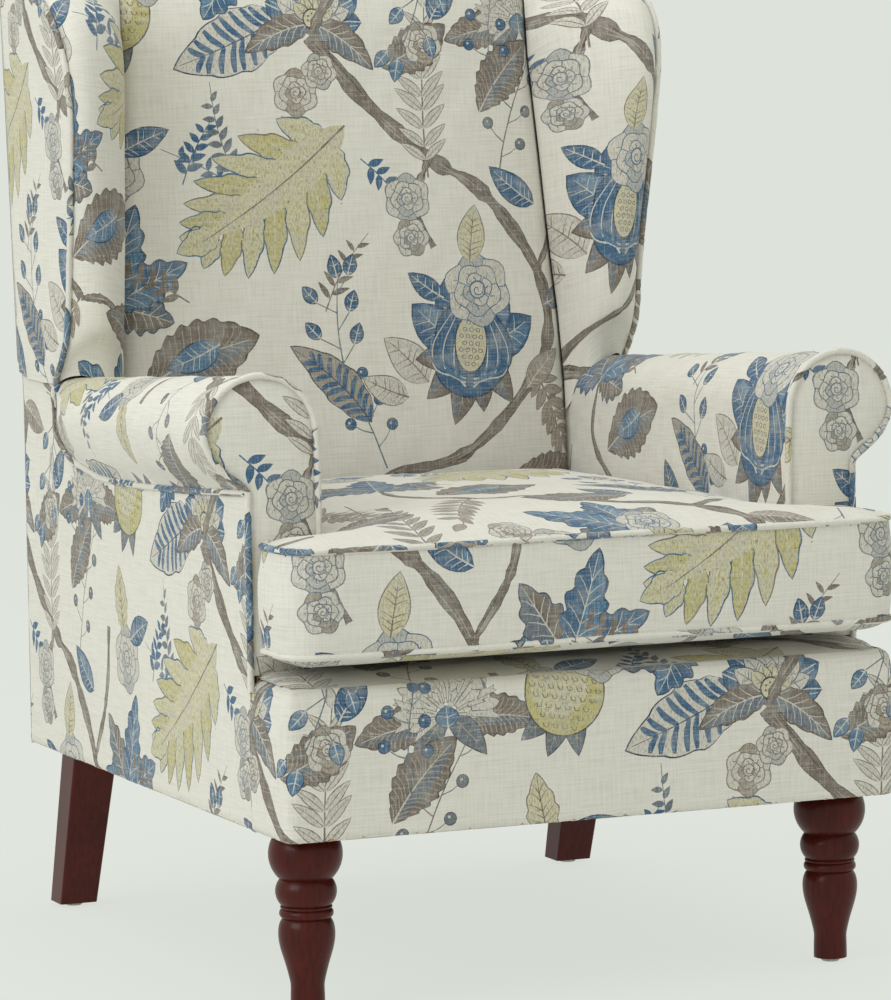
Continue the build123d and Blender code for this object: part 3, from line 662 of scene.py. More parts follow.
class Print:
    """The repeat, ready to be drawn on a cut."""

    def __init__(self, drawing):
        self.inks = [ink for ink, _ in drawing.shapes]
        self.outlines = [dense(plainer(outline), 0.010) for _, outline in drawing.shapes]
        self.low = np.array([o.min(axis=0) for o in self.outlines])
        self.high = np.array([o.max(axis=0) for o in self.outlines])

    def on(self, low, high, turn, offset):
        """Outlines that reach the box from low to high of a cut, in the cut's coordinates.

        The cloth's coordinates are the cut's, turned by turn degrees and then moved by offset.
        """
        box = np.array([(low[0], low[1]), (high[0], low[1]), (high[0], high[1]), (low[0], high[1])])
        cloth = rotate(box, turn) + offset
        first = np.floor((cloth.min(axis=0) - self.high.max(axis=0)) / TILE).astype(int)
        last = np.ceil((cloth.max(axis=0) - self.low.min(axis=0)) / TILE).astype(int)
        cloth_low, cloth_high = cloth.min(axis=0), cloth.max(axis=0)
        found = []
        for i in range(first[0], last[0] + 1):
            for j in range(first[1], last[1] + 1):
                shift = TILE * (i, j)
                hit = np.all((self.low + shift < cloth_high) & (self.high + shift > cloth_low), axis=1)
                for k in np.flatnonzero(hit):
                    outline = rotate(self.outlines[k] + shift - offset, -turn)
                    if np.all(outline.min(axis=0) < high) and np.all(outline.max(axis=0) > low):
                        found.append((self.inks[k], outline))
        return found


floral = Print(tile_drawing())


# ---------------------------------------------------------------- shapes and covers


class Surface:
    """Grid of points laid over a flat cut: rows run up the cut and columns across it."""

    def __init__(self, grid, wide, high, flip=False):
        self.grid = np.asarray(grid, float)
        self.wide, self.high = wide, high
        across = np.gradient(self.grid, axis=1)
        up = np.gradient(self.grid, axis=0)
        normal = np.cross(across, up) * (-1 if flip else 1)
        size = np.linalg.norm(normal, axis=2, keepdims=True)
        self.normals = normal / np.maximum(size, 1e-12)

    def _read(self, table, a, b):
        rows, cols = table.shape[:2]
        x = np.clip(a / self.wide, 0, 1) * (cols - 1)
        y = np.clip(b / self.high, 0, 1) * (rows - 1)
        i, j = np.minimum(x.astype(int), cols - 2), np.minimum(y.astype(int), rows - 2)
        fx, fy = (x - i)[:, None], (y - j)[:, None]
        low = table[j, i] * (1 - fx) + table[j, i + 1] * fx
        high = table[j + 1, i] * (1 - fx) + table[j + 1, i + 1] * fx
        return low * (1 - fy) + high * fy

    def at(self, a, b):
        return self._read(self.grid, a, b)

    def normal_at(self, a, b):
        n = self._read(self.normals, a, b)
        return n / np.maximum(np.linalg.norm(n, axis=1, keepdims=True), 1e-12)


def clipped(outline, low, high):
    """The part of a closed outline inside a box, or None."""
    for axis, bound, sign in ((0, low[0], 1), (0, high[0], -1), (1, low[1], 1), (1, high[1], -1)):
        depth = sign * (outline[:, axis] - bound)
        inside = depth >= 0
        if inside.all():
            continue
        if not inside.any():
            return None
        ahead, ahead_depth = np.roll(outline, -1, axis=0), np.roll(depth, -1)
        crossing = inside != np.roll(inside, -1)
        share = np.where(crossing, depth / np.where(crossing, depth - ahead_depth, 1.0), 0.0)[:, None]
        both = np.stack([outline, outline + share * (ahead - outline)], axis=1).reshape(-1, 2)
        outline = both[np.stack([inside, crossing], axis=1).ravel()]
    return outline if len(outline) > 2 else None


def triangulated(rings, loose):
    """Points and triangles that follow every edge of some closed outlines and pass through loose points."""
    points, edges = [], []
    for ring in rings:
        base, count = len(points), len(ring)
        points.extend(Vector(p) for p in ring.tolist())
        edges.extend((base + k, base + (k + 1) % count) for k in range(count))
    points.extend(Vector(p) for p in loose)
    flat, _, triangles, _, _, _ = delaunay_2d_cdt(points, edges, [], 0, 1e-7, False)
    return np.array([tuple(p) for p in flat]), np.array(triangles)


def enclosed(ring, spots):
    """Whether a closed outline winds round each spot."""
    (x, y), (u, v) = ring.T, np.roll(ring, -1, axis=0).T
    px, py = spots[:, :1], spots[:, 1:]
    side = (u - x) * (py - y) - (px - x) * (v - y)
    rising = (y <= py) & (v > py) & (side > 0)
    falling = (y > py) & (v <= py) & (side < 0)
    return rising.sum(axis=1) != falling.sum(axis=1)


PATCH = 0.055  # a cut is triangulated in square patches of this size
MARGIN = 0.0011  # how far a patch's outlines run past its edge
WELD = 3e-6  # points this close are one point where patches meet


def cut_flat(outline, shapes, cell):
    """Triangles of a flat cut with the shapes drawn on it, and the topmost shape of each."""
    low, high = outline.min(axis=0), outline.max(axis=0)
    patches = np.maximum(1, np.ceil((high - low) / PATCH)).astype(int)
    size = (high - low) / patches
    lows = np.array([shape.min(axis=0) for _, shape in shapes]).reshape(-1, 2)
    highs = np.array([shape.max(axis=0) for _, shape in shapes]).reshape(-1, 2)
    per = np.maximum(1, np.round(size / cell)).astype(int)
    found, kept, top, base = [], [], [], 0
    for j in range(patches[1]):
        for i in range(patches[0]):
            box_low = low + size * (i, j)
            box_high = box_low + size
            wide_low, wide_high = box_low - MARGIN, box_high + MARGIN
            whole = clipped(outline, wide_low, wide_high)
            if whole is None:
                continue
            corners = np.array([box_low, (box_high[0], box_low[1]), box_high, (box_low[0], box_high[1])])
            rings, numbers = [dense(corners, size[0] / per[0] * 1.01), whole], []
            for k in np.flatnonzero(np.all((lows < wide_high) & (highs > wide_low), axis=1)):
                part = clipped(shapes[k][1], wide_low, wide_high)
                if part is not None:
                    rings.append(part)
                    numbers.append(k + 1)
            loose = [box_low + size * ((p + 0.5) / per[0], (q + 0.5) / per[1])
                     for q in range(per[1]) for p in range(per[0])]
            flat, triangles = triangulated(rings, loose)
            middles = flat[triangles].mean(axis=1)
            inside = np.all((middles > box_low) & (middles < box_high), axis=1)
            triangles, middles = triangles[inside], middles[inside]
            number = np.zeros(len(triangles), int)
            for ring, k in zip(rings[2:], numbers):
                ring_low, ring_high = ring.min(axis=0), ring.max(axis=0)
                near = np.flatnonzero(np.all((middles > ring_low) & (middles < ring_high), axis=1))
                number[near[enclosed(ring, middles[near])]] = k
            inside = enclosed(whole, middles)
            if not inside.any():
                continue
            found.append(flat)
            kept.append(triangles[inside] + base)
            top.append(number[inside])
            base += len(flat)
    flat, kept, top = np.vstack(found), np.vstack(kept), np.concatenate(top)
    used, kept = np.unique(kept, return_inverse=True)
    flat, kept = flat[used], kept.reshape(-1, 3)
    swap = welded(flat, low, size)
    kept = swap[kept]
    sound = (kept[:, 0] != kept[:, 1]) & (kept[:, 1] != kept[:, 2]) & (kept[:, 2] != kept[:, 0])
    kept, top = kept[sound], top[sound]
    used, kept = np.unique(kept, return_inverse=True)
    return flat[used], kept.reshape(-1, 3), top


def welded(flat, low, size):
    """For each point, the one that stands for it where patches meet."""
    swap = np.arange(len(flat))
    place = (flat - low) / size
    border = np.flatnonzero(np.any(np.abs(place - np.round(place)) * size < WELD, axis=1))
    tree = KDTree(len(border))
    for k in border:
        tree.insert(Vector((flat[k, 0], flat[k, 1], 0)), int(k))
    tree.balance()
    for k in border:
        near = [index for _, index, _ in tree.find_range(Vector((flat[k, 0], flat[k, 1], 0)), WELD)]
        swap[k] = min(near + [k])
    for k in border:
        while swap[swap[k]] != swap[k]:
            swap[k] = swap[swap[k]]
    return swap


def rim_of(flat, triangles, outline):
    """Numbers of the points on the cut's outline, in order round it."""
    edges = np.sort(np.vstack([triangles[:, [0, 1]], triangles[:, [1, 2]], triangles[:, [2, 0]]]), axis=1)
    edges, uses = np.unique(edges, axis=0, return_counts=True)
    open_points = np.unique(edges[uses == 1])
    spots = flat[open_points]
    start = lengths(np.vstack([outline, outline[:1]]))
    best, place = np.full(len(spots), 1e9), np.zeros(len(spots))
    for k, (p, q) in enumerate(zip(outline, np.roll(outline, -1, axis=0))):
        d = q - p
        t = np.clip(((spots - p) @ d) / max(float(d @ d), 1e-12), 0, 1)
        away = np.linalg.norm(spots - p - t[:, None] * d, axis=1)
        better = away < best
        best = np.where(better, away, best)
        place = np.where(better, start[k] + t * np.linalg.norm(d), place)
    on = best < 2 * WELD
    order = np.argsort(place[on])
    return open_points[on][order].tolist()


def cover_mesh(surface, outline, turn=0.0, offset=(0.0, 0.0), cell=CELL, thick=CLOTH, printed=True,
               flip=False):
    """A cover laid on a surface: printed face, plain back and a closed rim.

    The cut is turned over first where flip is set, so that the print reads the right way round.
    Returns points, triangles, inks per triangle, cloth coordinates and normals.
    """
    outline = dense(outline, cell)
    offset = np.asarray(offset, float)
    over = np.array([-1.0 if flip else 1.0, 1.0])
    ends = np.sort([outline.min(axis=0) * over, outline.max(axis=0) * over], axis=0)
    shapes = [(ink, shape * over) for ink, shape in (floral.on(*ends, turn, offset) if printed else [])]
    flat, front, top = cut_flat(outline, shapes, cell)
    face = surface.at(flat[:, 0], flat[:, 1])
    normal = surface.normal_at(flat[:, 0], flat[:, 1])
    a, b, c = (face[front[:, k]] for k in range(3))
    turned = np.einsum("ij,ij->i", np.cross(b - a, c - a), normal[front[:, 0]]).sum() < 0
    loop = rim_of(flat, front, outline)
    rim_flat = flat[loop]
    low, span = outline.min(axis=0), outline.max(axis=0) - outline.min(axis=0)
    counts = np.maximum(1, np.round(span / (cell * 2.2))).astype(int)
    steps = span / counts
    inner = [low + steps * (i + 0.5, j + 0.5) for j in range(counts[1]) for i in range(counts[0])]
    back_flat, back = triangulated([rim_flat], inner)
    back = back[enclosed(rim_flat, back_flat[back].mean(axis=1))]
    back_at = surface.at(back_flat[:, 0], back_flat[:, 1])
    back_normal = surface.normal_at(back_flat[:, 0], back_flat[:, 1])
    base = len(flat)
    points = np.vstack([face, back_at - back_normal * thick])
    nearest = [int(np.argmin(np.abs(back_flat - p).sum(axis=1))) for p in rim_flat]
    rim = []
    for k, (p, q) in enumerate(zip(nearest, nearest[1:] + nearest[:1])):
        m, n = loop[k], loop[(k + 1) % len(loop)]
        rim += [(n, m, base + p), (n, base + p, base + q)]
    triangles = np.vstack([front, back[:, ::-1] + base, np.array(rim)])
    if turned:
        triangles = triangles[:, ::-1]
    colours = np.array([(0.0, 0.0, 0.0, 0.0)] + [(*INKS[ink], 1.0) for ink, _ in shapes])
    inks = np.vstack([colours[top], np.zeros((len(triangles) - len(front), 4))])
    cloth = np.vstack([rotate(flat * over, turn), rotate(back_flat * over, turn)]) + offset
    normals = np.vstack([normal, -back_normal])
    return points, triangles, inks, cloth, normals


def piece(name, parts, body, material, mirror=False):
    """One object from the meshes in parts, riding on a body."""
    points, triangles, inks, cloth, normals, base = [], [], [], [], [], 0
    for p, t, ink, uv, n in parts:
        points.append(p)
        triangles.append(t + base)
        inks.append(ink)
        cloth.append(uv)
        normals.append(n)
        base += len(p)
    points, triangles = np.vstack(points), np.vstack(triangles)
    inks, cloth, normals = np.vstack(inks), np.vstack(cloth), np.vstack(normals)
    if mirror:
        points = points * (-1, 1, 1)
        normals = normals * (-1, 1, 1)
        triangles = triangles[:, ::-1]
    mesh = bpy.data.meshes.new(name)
    mesh.from_pydata(points.tolist(), [], triangles.tolist())
    layer = mesh.attributes.new("fabric", "FLOAT_VECTOR", "POINT")
    layer.data.foreach_set("vector", np.hstack([cloth, np.zeros((len(cloth), 1))]).ravel())
    layer = mesh.attributes.new("ink", "FLOAT_COLOR", "CORNER")
    layer.data.foreach_set("color", np.repeat(inks, 3, axis=0).ravel())
    mesh.polygons.foreach_set("use_smooth", [True] * len(mesh.polygons))
    mesh.normals_split_custom_set_from_vertices(normals.tolist())
    mesh.materials.append(material)
    obj = bpy.data.objects.new(name, mesh)
    bpy.context.scene.collection.objects.link(obj)
    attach(obj, body)
    return obj


BIAS = 45.0  # the cloth round a cord is cut across its threads, at this many degrees
CORD_CELL = 0.0045
CORD_SIDES = 16


def cord_mesh(path, offset):
    """Fabric-covered cord along a path, cut on the bias and joined along its seam round the cord."""
    path = np.asarray(path, float)
    path = evenly(path, max(3, int(lengths(path)[-1] / 0.004)))
    step = np.gradient(path, axis=0)
    step /= np.linalg.norm(step, axis=1, keepdims=True)
    side = np.cross(step[0], (0.3, 0.2, 0.9))
    grid = np.zeros((CORD_SIDES + 1, len(path), 3))
    around = np.linspace(0, 2 * pi, CORD_SIDES + 1)
    long = lengths(path)[-1]
    for i, t in enumerate(step):
        side = side - t * (side @ t)
        side /= np.linalg.norm(side)
        other = np.cross(t, side)
        swell = WELT_R * (1 + 0.035 * np.sin(i * 0.9) + 0.03 * np.sin(i * 0.37 + 1))
        grid[:, i] = path[i] + swell * (np.cos(around)[:, None] * side + np.sin(around)[:, None] * other)
    wide = 2 * pi * WELT_R
    surface = Surface(grid, long, wide)
    centre = grid[:-1].mean(axis=0)
    outward = grid[0] - centre
    if np.einsum("ij,ij->i", surface.normals[0], outward).sum() < 0:
        surface.normals *= -1
    offset = np.asarray(offset, float)
    outline = dense([(0, 0), (long, 0), (long, wide), (0, wide)], CORD_CELL)
    shapes = floral.on(outline.min(axis=0), outline.max(axis=0), BIAS, offset)
    flat, triangles, top = cut_flat(outline, shapes, CORD_CELL)
    points = surface.at(flat[:, 0], flat[:, 1])
    normals = surface.normal_at(flat[:, 0], flat[:, 1])
    same = {}
    for k, (a, b) in enumerate(flat):
        if b < 1e-9:
            same[round(a, 6)] = k
    swap = np.arange(len(flat))
    for k, (a, b) in enumerate(flat):
        if b > wide - 1e-9 and round(a, 6) in same:
            swap[k] = same[round(a, 6)]
    triangles = swap[triangles]
    a, b, c = (points[triangles[:, k]] for k in range(3))
    if np.einsum("ij,ij->i", np.cross(b - a, c - a), normals[triangles[:, 0]]).sum() < 0:
        triangles = triangles[:, ::-1]
    colours = np.array([(0.0, 0.0, 0.0, 0.0)] + [(*INKS[ink], 1.0) for ink, _ in shapes])
    return points, triangles, colours[top], rotate(flat, BIAS) + offset, normals


# ---------------------------------------------------------------- materials


def srgb(r, g, b):
    return tuple(c / 12.92 if c <= 0.04045 else ((c + 0.055) / 1.055) ** 2.4 for c in (r, g, b)) + (1.0,)


class Nodes:
    """Short way to write a material's node tree."""

    def __init__(self, name):
        self.material = bpy.data.materials.new(name)
        self.material.use_nodes = True
        self.tree = self.material.node_tree
        self.tree.nodes.clear()
        self.out = self.add("ShaderNodeOutputMaterial")
        self.shader = self.add("ShaderNodeBsdfPrincipled")
        self.join(self.shader.outputs[0], self.out.inputs[0])

    def add(self, kind, **settings):
        node = self.tree.nodes.new(kind)
        for key, value in settings.items():
            setattr(node, key, value)
        return node

    def join(self, source, target):
        self.tree.links.new(source, target)

    def math(self, operation, a, b=None, clamp=False):
        node = self.add("ShaderNodeMath", operation=operation, use_clamp=clamp)
        for socket, value in zip(node.inputs, (a, b)):
            if hasattr(value, "is_output"):
                self.join(value, socket)
            elif value is not None:
                socket.default_value = value
        return node.outputs[0]

    def scaled(self, vector, scale):
        node = self.add("ShaderNodeMapping")
        node.inputs["Scale"].default_value = scale
        self.join(vector, node.inputs["Vector"])
        return node.outputs[0]

    def noise(self, vector, scale, detail=2.0, rough=0.5):
        node = self.add("ShaderNodeTexNoise")
        node.inputs["Scale"].default_value = scale
        node.inputs["Detail"].default_value = detail
        node.inputs["Roughness"].default_value = rough
        self.join(vector, node.inputs["Vector"])
        return node.outputs["Fac"]

    def ramp(self, factor, stops):
        node = self.add("ShaderNodeValToRGB")
        elements = node.color_ramp.elements
        while len(elements) < len(stops):
            elements.new(0.5)
        for element, (at, colour) in zip(elements, stops):
            element.position = at
            element.color = colour
        self.join(factor, node.inputs[0])
        return node.outputs[0]

    def mix(self, factor, a, b, blend="MIX"):
        node = self.add("ShaderNodeMix", data_type="RGBA", blend_type=blend)
        for socket, value in ((node.inputs[0], factor), (node.inputs[6], a), (node.inputs[7], b)):
            if hasattr(value, "is_output"):
                self.join(value, socket)
            else:
                socket.default_value = value
        return node.outputs[2]

    def bump(self, height, strength, distance):
        node = self.add("ShaderNodeBump")
        node.inputs["Strength"].default_value = strength
        node.inputs["Distance"].default_value = distance
        self.join(height, node.inputs["Height"])
        return node.outputs[0]

    def set(self, **values):
        for key, value in values.items():
            self.shader.inputs[key.replace("_", " ")].default_value = value


def weave_of(m, cloth):
    """Fine threads and coarse slubs of the warp and weft, each from 0 to 1."""
    warp = m.noise(m.scaled(cloth, (1250, 48, 1)), 1.0, 1.0)
    weft = m.noise(m.scaled(cloth, (48, 1250, 1)), 1.0, 1.0)
    slub = m.noise(m.scaled(cloth, (26, 520, 1)), 1.0, 2.0)
    slub_up = m.noise(m.scaled(cloth, (520, 30, 1)), 1.0, 2.0)
    fine = m.math("ADD", m.math("MULTIPLY", warp, 0.5), m.math("MULTIPLY", weft, 0.5))
    coarse = m.math("ADD", m.math("MULTIPLY", slub, 0.55), m.math("MULTIPLY", slub_up, 0.45))
    return fine, coarse


def linen_material():
    """Slubby linen with ink that sits on the raised threads."""
    m = Nodes("printed_linen")
    cloth = m.add("ShaderNodeAttribute", attribute_name="fabric").outputs["Vector"]
    ink = m.add("ShaderNodeAttribute", attribute_name="ink")
    fine, coarse = weave_of(m, cloth)
    ground = m.ramp(coarse, [(0.34, srgb(0.818, 0.800, 0.762)), (0.50, srgb(0.858, 0.842, 0.806)),
                             (0.66, srgb(0.882, 0.868, 0.834))])
    ground = m.mix(m.math("MULTIPLY", m.math("SUBTRACT", fine, 0.40), 0.30, clamp=True), ground,
                   srgb(0.74, 0.71, 0.66))
    wash = m.noise(cloth, 42.0, 4.0, 0.6)
    etched = m.noise(m.scaled(cloth, (620, 210, 1)), 1.0, 4.0, 0.65)
    hatch = m.ramp(etched, [(0.36, (0.42, 0.42, 0.46, 1)), (0.50, (0.86, 0.86, 0.87, 1)),
                            (0.64, (1, 1, 1, 1))])
    ink_dark = m.mix(0.85, ink.outputs["Color"], hatch, "MULTIPLY")
    ink_light = m.mix(m.math("MULTIPLY", m.math("SUBTRACT", wash, 0.46), 1.6, clamp=True), ink_dark,
                      (0.44, 0.43, 0.40, 1.0))
    dry = m.math("ADD", m.math("MULTIPLY", coarse, 0.6), m.math("MULTIPLY", fine, 0.4))
    worn = m.math("MULTIPLY", m.math("SUBTRACT", dry, 0.50), 3.2, clamp=True)
    cover = m.math("SUBTRACT", 0.97, m.math("MULTIPLY", worn, 0.85))
    colour = m.mix(m.math("MULTIPLY", ink.outputs["Alpha"], cover), ground, ink_light)
    m.join(colour, m.shader.inputs["Base Color"])
    relief = m.math("ADD", fine, m.math("MULTIPLY", coarse, 0.8))
    m.join(m.bump(relief, 0.35, 0.0005), m.shader.inputs["Normal"])
    m.join(m.math("ADD", 0.80, m.math("MULTIPLY", fine, 0.14)), m.shader.inputs["Roughness"])
    m.set(Specular_IOR_Level=0.22, Sheen_Weight=0.12, Sheen_Roughness=0.5)
    return m.material


def wood_material(name, dark, light, gloss, grain=(260.0, 260.0, 16.0)):
    """Stained timber with the grain along Z."""
    m = Nodes(name)
    place = m.add("ShaderNodeTexCoord").outputs["Object"]
    long = m.noise(m.scaled(place, grain), 1.0, 4.0, 0.6)
    pore = m.noise(m.scaled(place, (grain[0] * 4, grain[1] * 4, grain[2] * 3)), 1.0, 2.0)
    cloud = m.noise(place, 14.0, 2.0)
    tone = m.math("ADD", m.math("MULTIPLY", long, 0.62), m.math("MULTIPLY", cloud, 0.38))
    colour = m.ramp(tone, [(0.34, dark), (0.66, light)])
    pores = m.math("MULTIPLY", m.math("SUBTRACT", pore, 0.56), 3.0, clamp=True)
    colour = m.mix(m.math("MULTIPLY", pores, 0.45), colour, tuple(c * 0.45 for c in dark[:3]) + (1.0,))
    m.join(colour, m.shader.inputs["Base Color"])
    m.join(m.math("ADD", gloss, m.math("MULTIPLY", long, 0.16)), m.shader.inputs["Roughness"])
    relief = m.math("SUBTRACT", tone, m.math("MULTIPLY", pores, 0.5))
    m.join(m.bump(relief, 0.10, 0.0006), m.shader.inputs["Normal"])
    return m


def cloth_material(name, dark, light, scale):
    """Plain woven or felted cloth."""
    m = Nodes(name)
    place = m.add("ShaderNodeTexCoord").outputs["Object"]
    a = m.noise(m.scaled(place, (scale, scale * 0.08, scale * 0.08)), 1.0, 2.0)
    b = m.noise(m.scaled(place, (scale * 0.08, scale, scale)), 1.0, 2.0)
    threads = m.math("MULTIPLY", m.math("ADD", a, b), 0.5)
    m.join(m.ramp(threads, [(0.38, dark), (0.62, light)]), m.shader.inputs["Base Color"])
    m.join(m.bump(threads, 0.5, 0.0008), m.shader.inputs["Normal"])
    m.join(m.math("ADD", 0.82, m.math("MULTIPLY", threads, 0.16)), m.shader.inputs["Roughness"])
    m.set(Specular_IOR_Level=0.2)
    return m.material


def metal_material(name, dark, light, rough):
    m = Nodes(name)
    place = m.add("ShaderNodeTexCoord").outputs["Object"]
    mottle = m.noise(place, 60.0, 4.0, 0.6)
    scratch = m.noise(m.scaled(place, (900, 60, 900)), 1.0, 2.0)
    m.join(m.ramp(mottle, [(0.35, dark), (0.65, light)]), m.shader.inputs["Base Color"])
    m.join(m.math("ADD", rough, m.math("MULTIPLY", scratch, 0.2)), m.shader.inputs["Roughness"])
    m.join(m.bump(scratch, 0.08, 0.0002), m.shader.inputs["Normal"])
    m.set(Metallic=1.0)
    return m.material


def plastic_material():
    m = Nodes("glide_plastic")
    place = m.add("ShaderNodeTexCoord").outputs["Object"]
    scuff = m.noise(place, 400.0, 4.0)
    m.join(m.ramp(scuff, [(0.35, srgb(0.60, 0.60, 0.58)), (0.65, srgb(0.72, 0.72, 0.70))]),
           m.shader.inputs["Base Color"])
    m.join(m.math("ADD", 0.35, m.math("MULTIPLY", scuff, 0.25)), m.shader.inputs["Roughness"])
    m.join(m.bump(scuff, 0.1, 0.0003), m.shader.inputs["Normal"])
    return m.material


LINEN = linen_material()
leg_nodes = wood_material("leg_wood", srgb(0.215, 0.058, 0.040), srgb(0.325, 0.100, 0.068), 0.28)
leg_nodes.set(Coat_Weight=0.12, Coat_Roughness=0.16, Specular_IOR_Level=0.14)
LEG_WOOD = leg_nodes.material
FRAME_WOOD = wood_material("frame_wood", srgb(0.62, 0.47, 0.30), srgb(0.80, 0.66, 0.47), 0.62,
                           (40.0, 220.0, 220.0)).material
STEEL = metal_material("steel", srgb(0.62, 0.62, 0.63), srgb(0.76, 0.76, 0.77), 0.30)
ZIP_METAL = metal_material("zip_metal", srgb(0.62, 0.58, 0.50), srgb(0.78, 0.74, 0.66), 0.28)
ZIP_CLOTH = cloth_material("zip_cloth", srgb(0.74, 0.71, 0.65), srgb(0.84, 0.81, 0.76), 1500.0)
WEBBING = cloth_material("webbing", srgb(0.55, 0.44, 0.29), srgb(0.78, 0.67, 0.48), 700.0)
BURLAP = cloth_material("burlap", srgb(0.60, 0.50, 0.34), srgb(0.82, 0.73, 0.56), 620.0)
DUST_CLOTH = cloth_material("dust_cloth", srgb(0.10, 0.10, 0.105), srgb(0.17, 0.17, 0.175), 900.0)
TICKING = cloth_material("ticking", srgb(0.78, 0.75, 0.69), srgb(0.88, 0.86, 0.81), 1200.0)

NODE_MATERIALS = [
    (FRAME_WOOD, "front_rail back_rail side_rail_l side_rail_r corner_blocks arm_post_l arm_post_r "
                 "arm_rail_l arm_rail_r back_post_l back_post_r top_rail back_cross_rail wing_board_l "
                 "wing_board_r"),
    (STEEL, "leg_plates hanger_bolts seat_springs spring_clips"),
    (WEBBING, "back_webbing"),
    (BURLAP, "deck_burlap"),
    (DUST_CLOTH, "dust_cover"),
    (LEG_WOOD, "front_leg_l front_leg_r rear_leg_l rear_leg_r"),
    (plastic_material(), "glides"),
    (ZIP_CLOTH, "zip_tape"),
    (ZIP_METAL, "zip_slider"),
]
for material, names in NODE_MATERIALS:
    for name in names.split():
        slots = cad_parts[name].data.materials
        slots.clear()
        slots.append(material)


# ---------------------------------------------------------------- inside back

LEAN = radians(6.5)
BACK_FOOT_Y = 0.205  # edge of the inside back at the lip's height
BACK_TOP_R = 0.045  # radius at which the cloth turns over the top
BACK_EDGE_Z = TOP_Z - 0.0015
BACK_EDGE_KEYS = [(0.33, 0.2550), (0.55, 0.2580), (0.62, 0.2555), (0.70, 0.2495), (0.80, 0.2440),
                  (0.90, 0.2375), (1.00, 0.2360)]  # height and half width
BACK_START_Y = BACK_FOOT_Y + (DECK_Z - LIP_Z) * tan(LEAN)
BACK_STRAIGHT = (BACK_EDGE_Z - BACK_TOP_R * (1 - sin(LEAN)) - DECK_Z) / cos(LEAN)
BACK_ARC = BACK_TOP_R * (pi / 2 - LEAN)
BACK_ARC_Y = BACK_START_Y + BACK_STRAIGHT * sin(LEAN) + BACK_TOP_R * cos(LEAN)
BACK_LONG = BACK_STRAIGHT + BACK_ARC + (TOP_REAR_Y - 0.004 - BACK_ARC_Y)


def back_edge(b):
    """Point and outward direction, in Y and Z, of the back's side edge at length b up the cloth."""
    b = np.asarray(b, float)
    turn = np.clip((b - BACK_STRAIGHT) / BACK_TOP_R, 0, pi / 2 - LEAN) + LEAN
    straight = np.minimum(b, BACK_STRAIGHT)
    past = np.maximum(b - BACK_STRAIGHT - BACK_ARC, 0)
    y = BACK_START_Y + straight * sin(LEAN) + BACK_TOP_R * (cos(LEAN) - np.cos(turn)) + past
    z = DECK_Z + straight * cos(LEAN) + BACK_TOP_R * (np.sin(turn) - sin(LEAN))
    return y, z, -np.cos(turn), np.sin(turn)


def back_half_width(z):
    return np.interp(z, *zip(*BACK_EDGE_KEYS))


def back_surface():
    half = 0.262
    x = np.linspace(-half, half, 141)[None, :]
    b = np.linspace(0, BACK_LONG, 221)[:, None]
    y, z, ny, nz = back_edge(b)
    edge = back_half_width(z)
    share = np.clip(np.abs(x) / edge, 0, 1.1)
    top = ease((b - BACK_STRAIGHT + 0.03) / 0.12)
    groove = np.clip((np.abs(x) - edge + 0.018) / 0.018, 0, 1.2) ** 2
    out = (0.021 - 0.018 * top) * (1 - share**2.3) - 0.013 * (1 - top) * groove
    out = out + 0.0009 * ripple(x, b, 1.0) * (1 - share**4)
    grid = np.stack([x + 0 * b, y + ny * out, z + nz * out], axis=-1)
    return Surface(grid, 2 * half, BACK_LONG), half


def inside_back():
    surface, half = back_surface()
    b = np.linspace(0, BACK_LONG, 60)
    edge = back_half_width(back_edge(b)[1]) + 0.004
    right = np.stack([half + edge, b], axis=1)
    left = np.stack([half - edge, b], axis=1)[::-1]
    part = cover_mesh(surface, np.vstack([right, left]), offset=(-half, -0.110))
    obj = piece("inside_back", [part], "chair", LINEN)
    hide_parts("inside_back_cover", "back_foam")


# ---------------------------------------------------------------- wings

WING_SIDE_X = 0.3262
WING_FLARE = [(0.54, 0.3266), (0.60, 0.3250), (0.66, 0.3243), (0.72, 0.3252), (0.80, 0.3282), (0.85, 0.3300),
              (0.90, 0.3345), (0.94, 0.3395), (0.96, 0.3415), (1.00, 0.3415)]
# Y and Z along the wing's front and top, and how far up the back's cloth each of those points is joined
WING_RIM = [(0.2400, 0.567), (0.2050, 0.615), (0.191, 0.690), (0.177, 0.760), (0.164, 0.830), (0.160, 0.875),
            (0.166, 0.912), (0.184, 0.942), (0.216, 0.965), (0.262, 0.980), (0.330, 0.9905), (0.400, 0.9935)]
WING_CREASE = [0.190, 0.268, 0.350, 0.430, 0.500, 0.545, 0.578, 0.603, 0.630, 0.665, 0.725, 0.790]


def wing_side_x(y, z):
    """Outer face of a wing: upright, with the front edge flared out near the top."""
    flare = np.interp(z, *zip(*WING_FLARE)) - WING_SIDE_X
    return WING_SIDE_X + flare * (1 - ease((np.asarray(y) - 0.20) / 0.20))


def wing_rim(count=160):
    """Front and top edge of the wing, from the arm to the back of the chair."""
    rim = evenly(smooth(WING_RIM, 12), count)
    return np.column_stack([wing_side_x(rim[:, 0], rim[:, 1]), rim])


def rim_outward(rim):
    """Direction, at each point of the rim, that leads away from the wing in its own plane."""
    forward = np.gradient(rim, axis=0)
    out = np.column_stack([0 * forward[:, 0], -np.abs(forward[:, 2]), np.abs(forward[:, 1])])
    return out / np.linalg.norm(out, axis=1, keepdims=True)


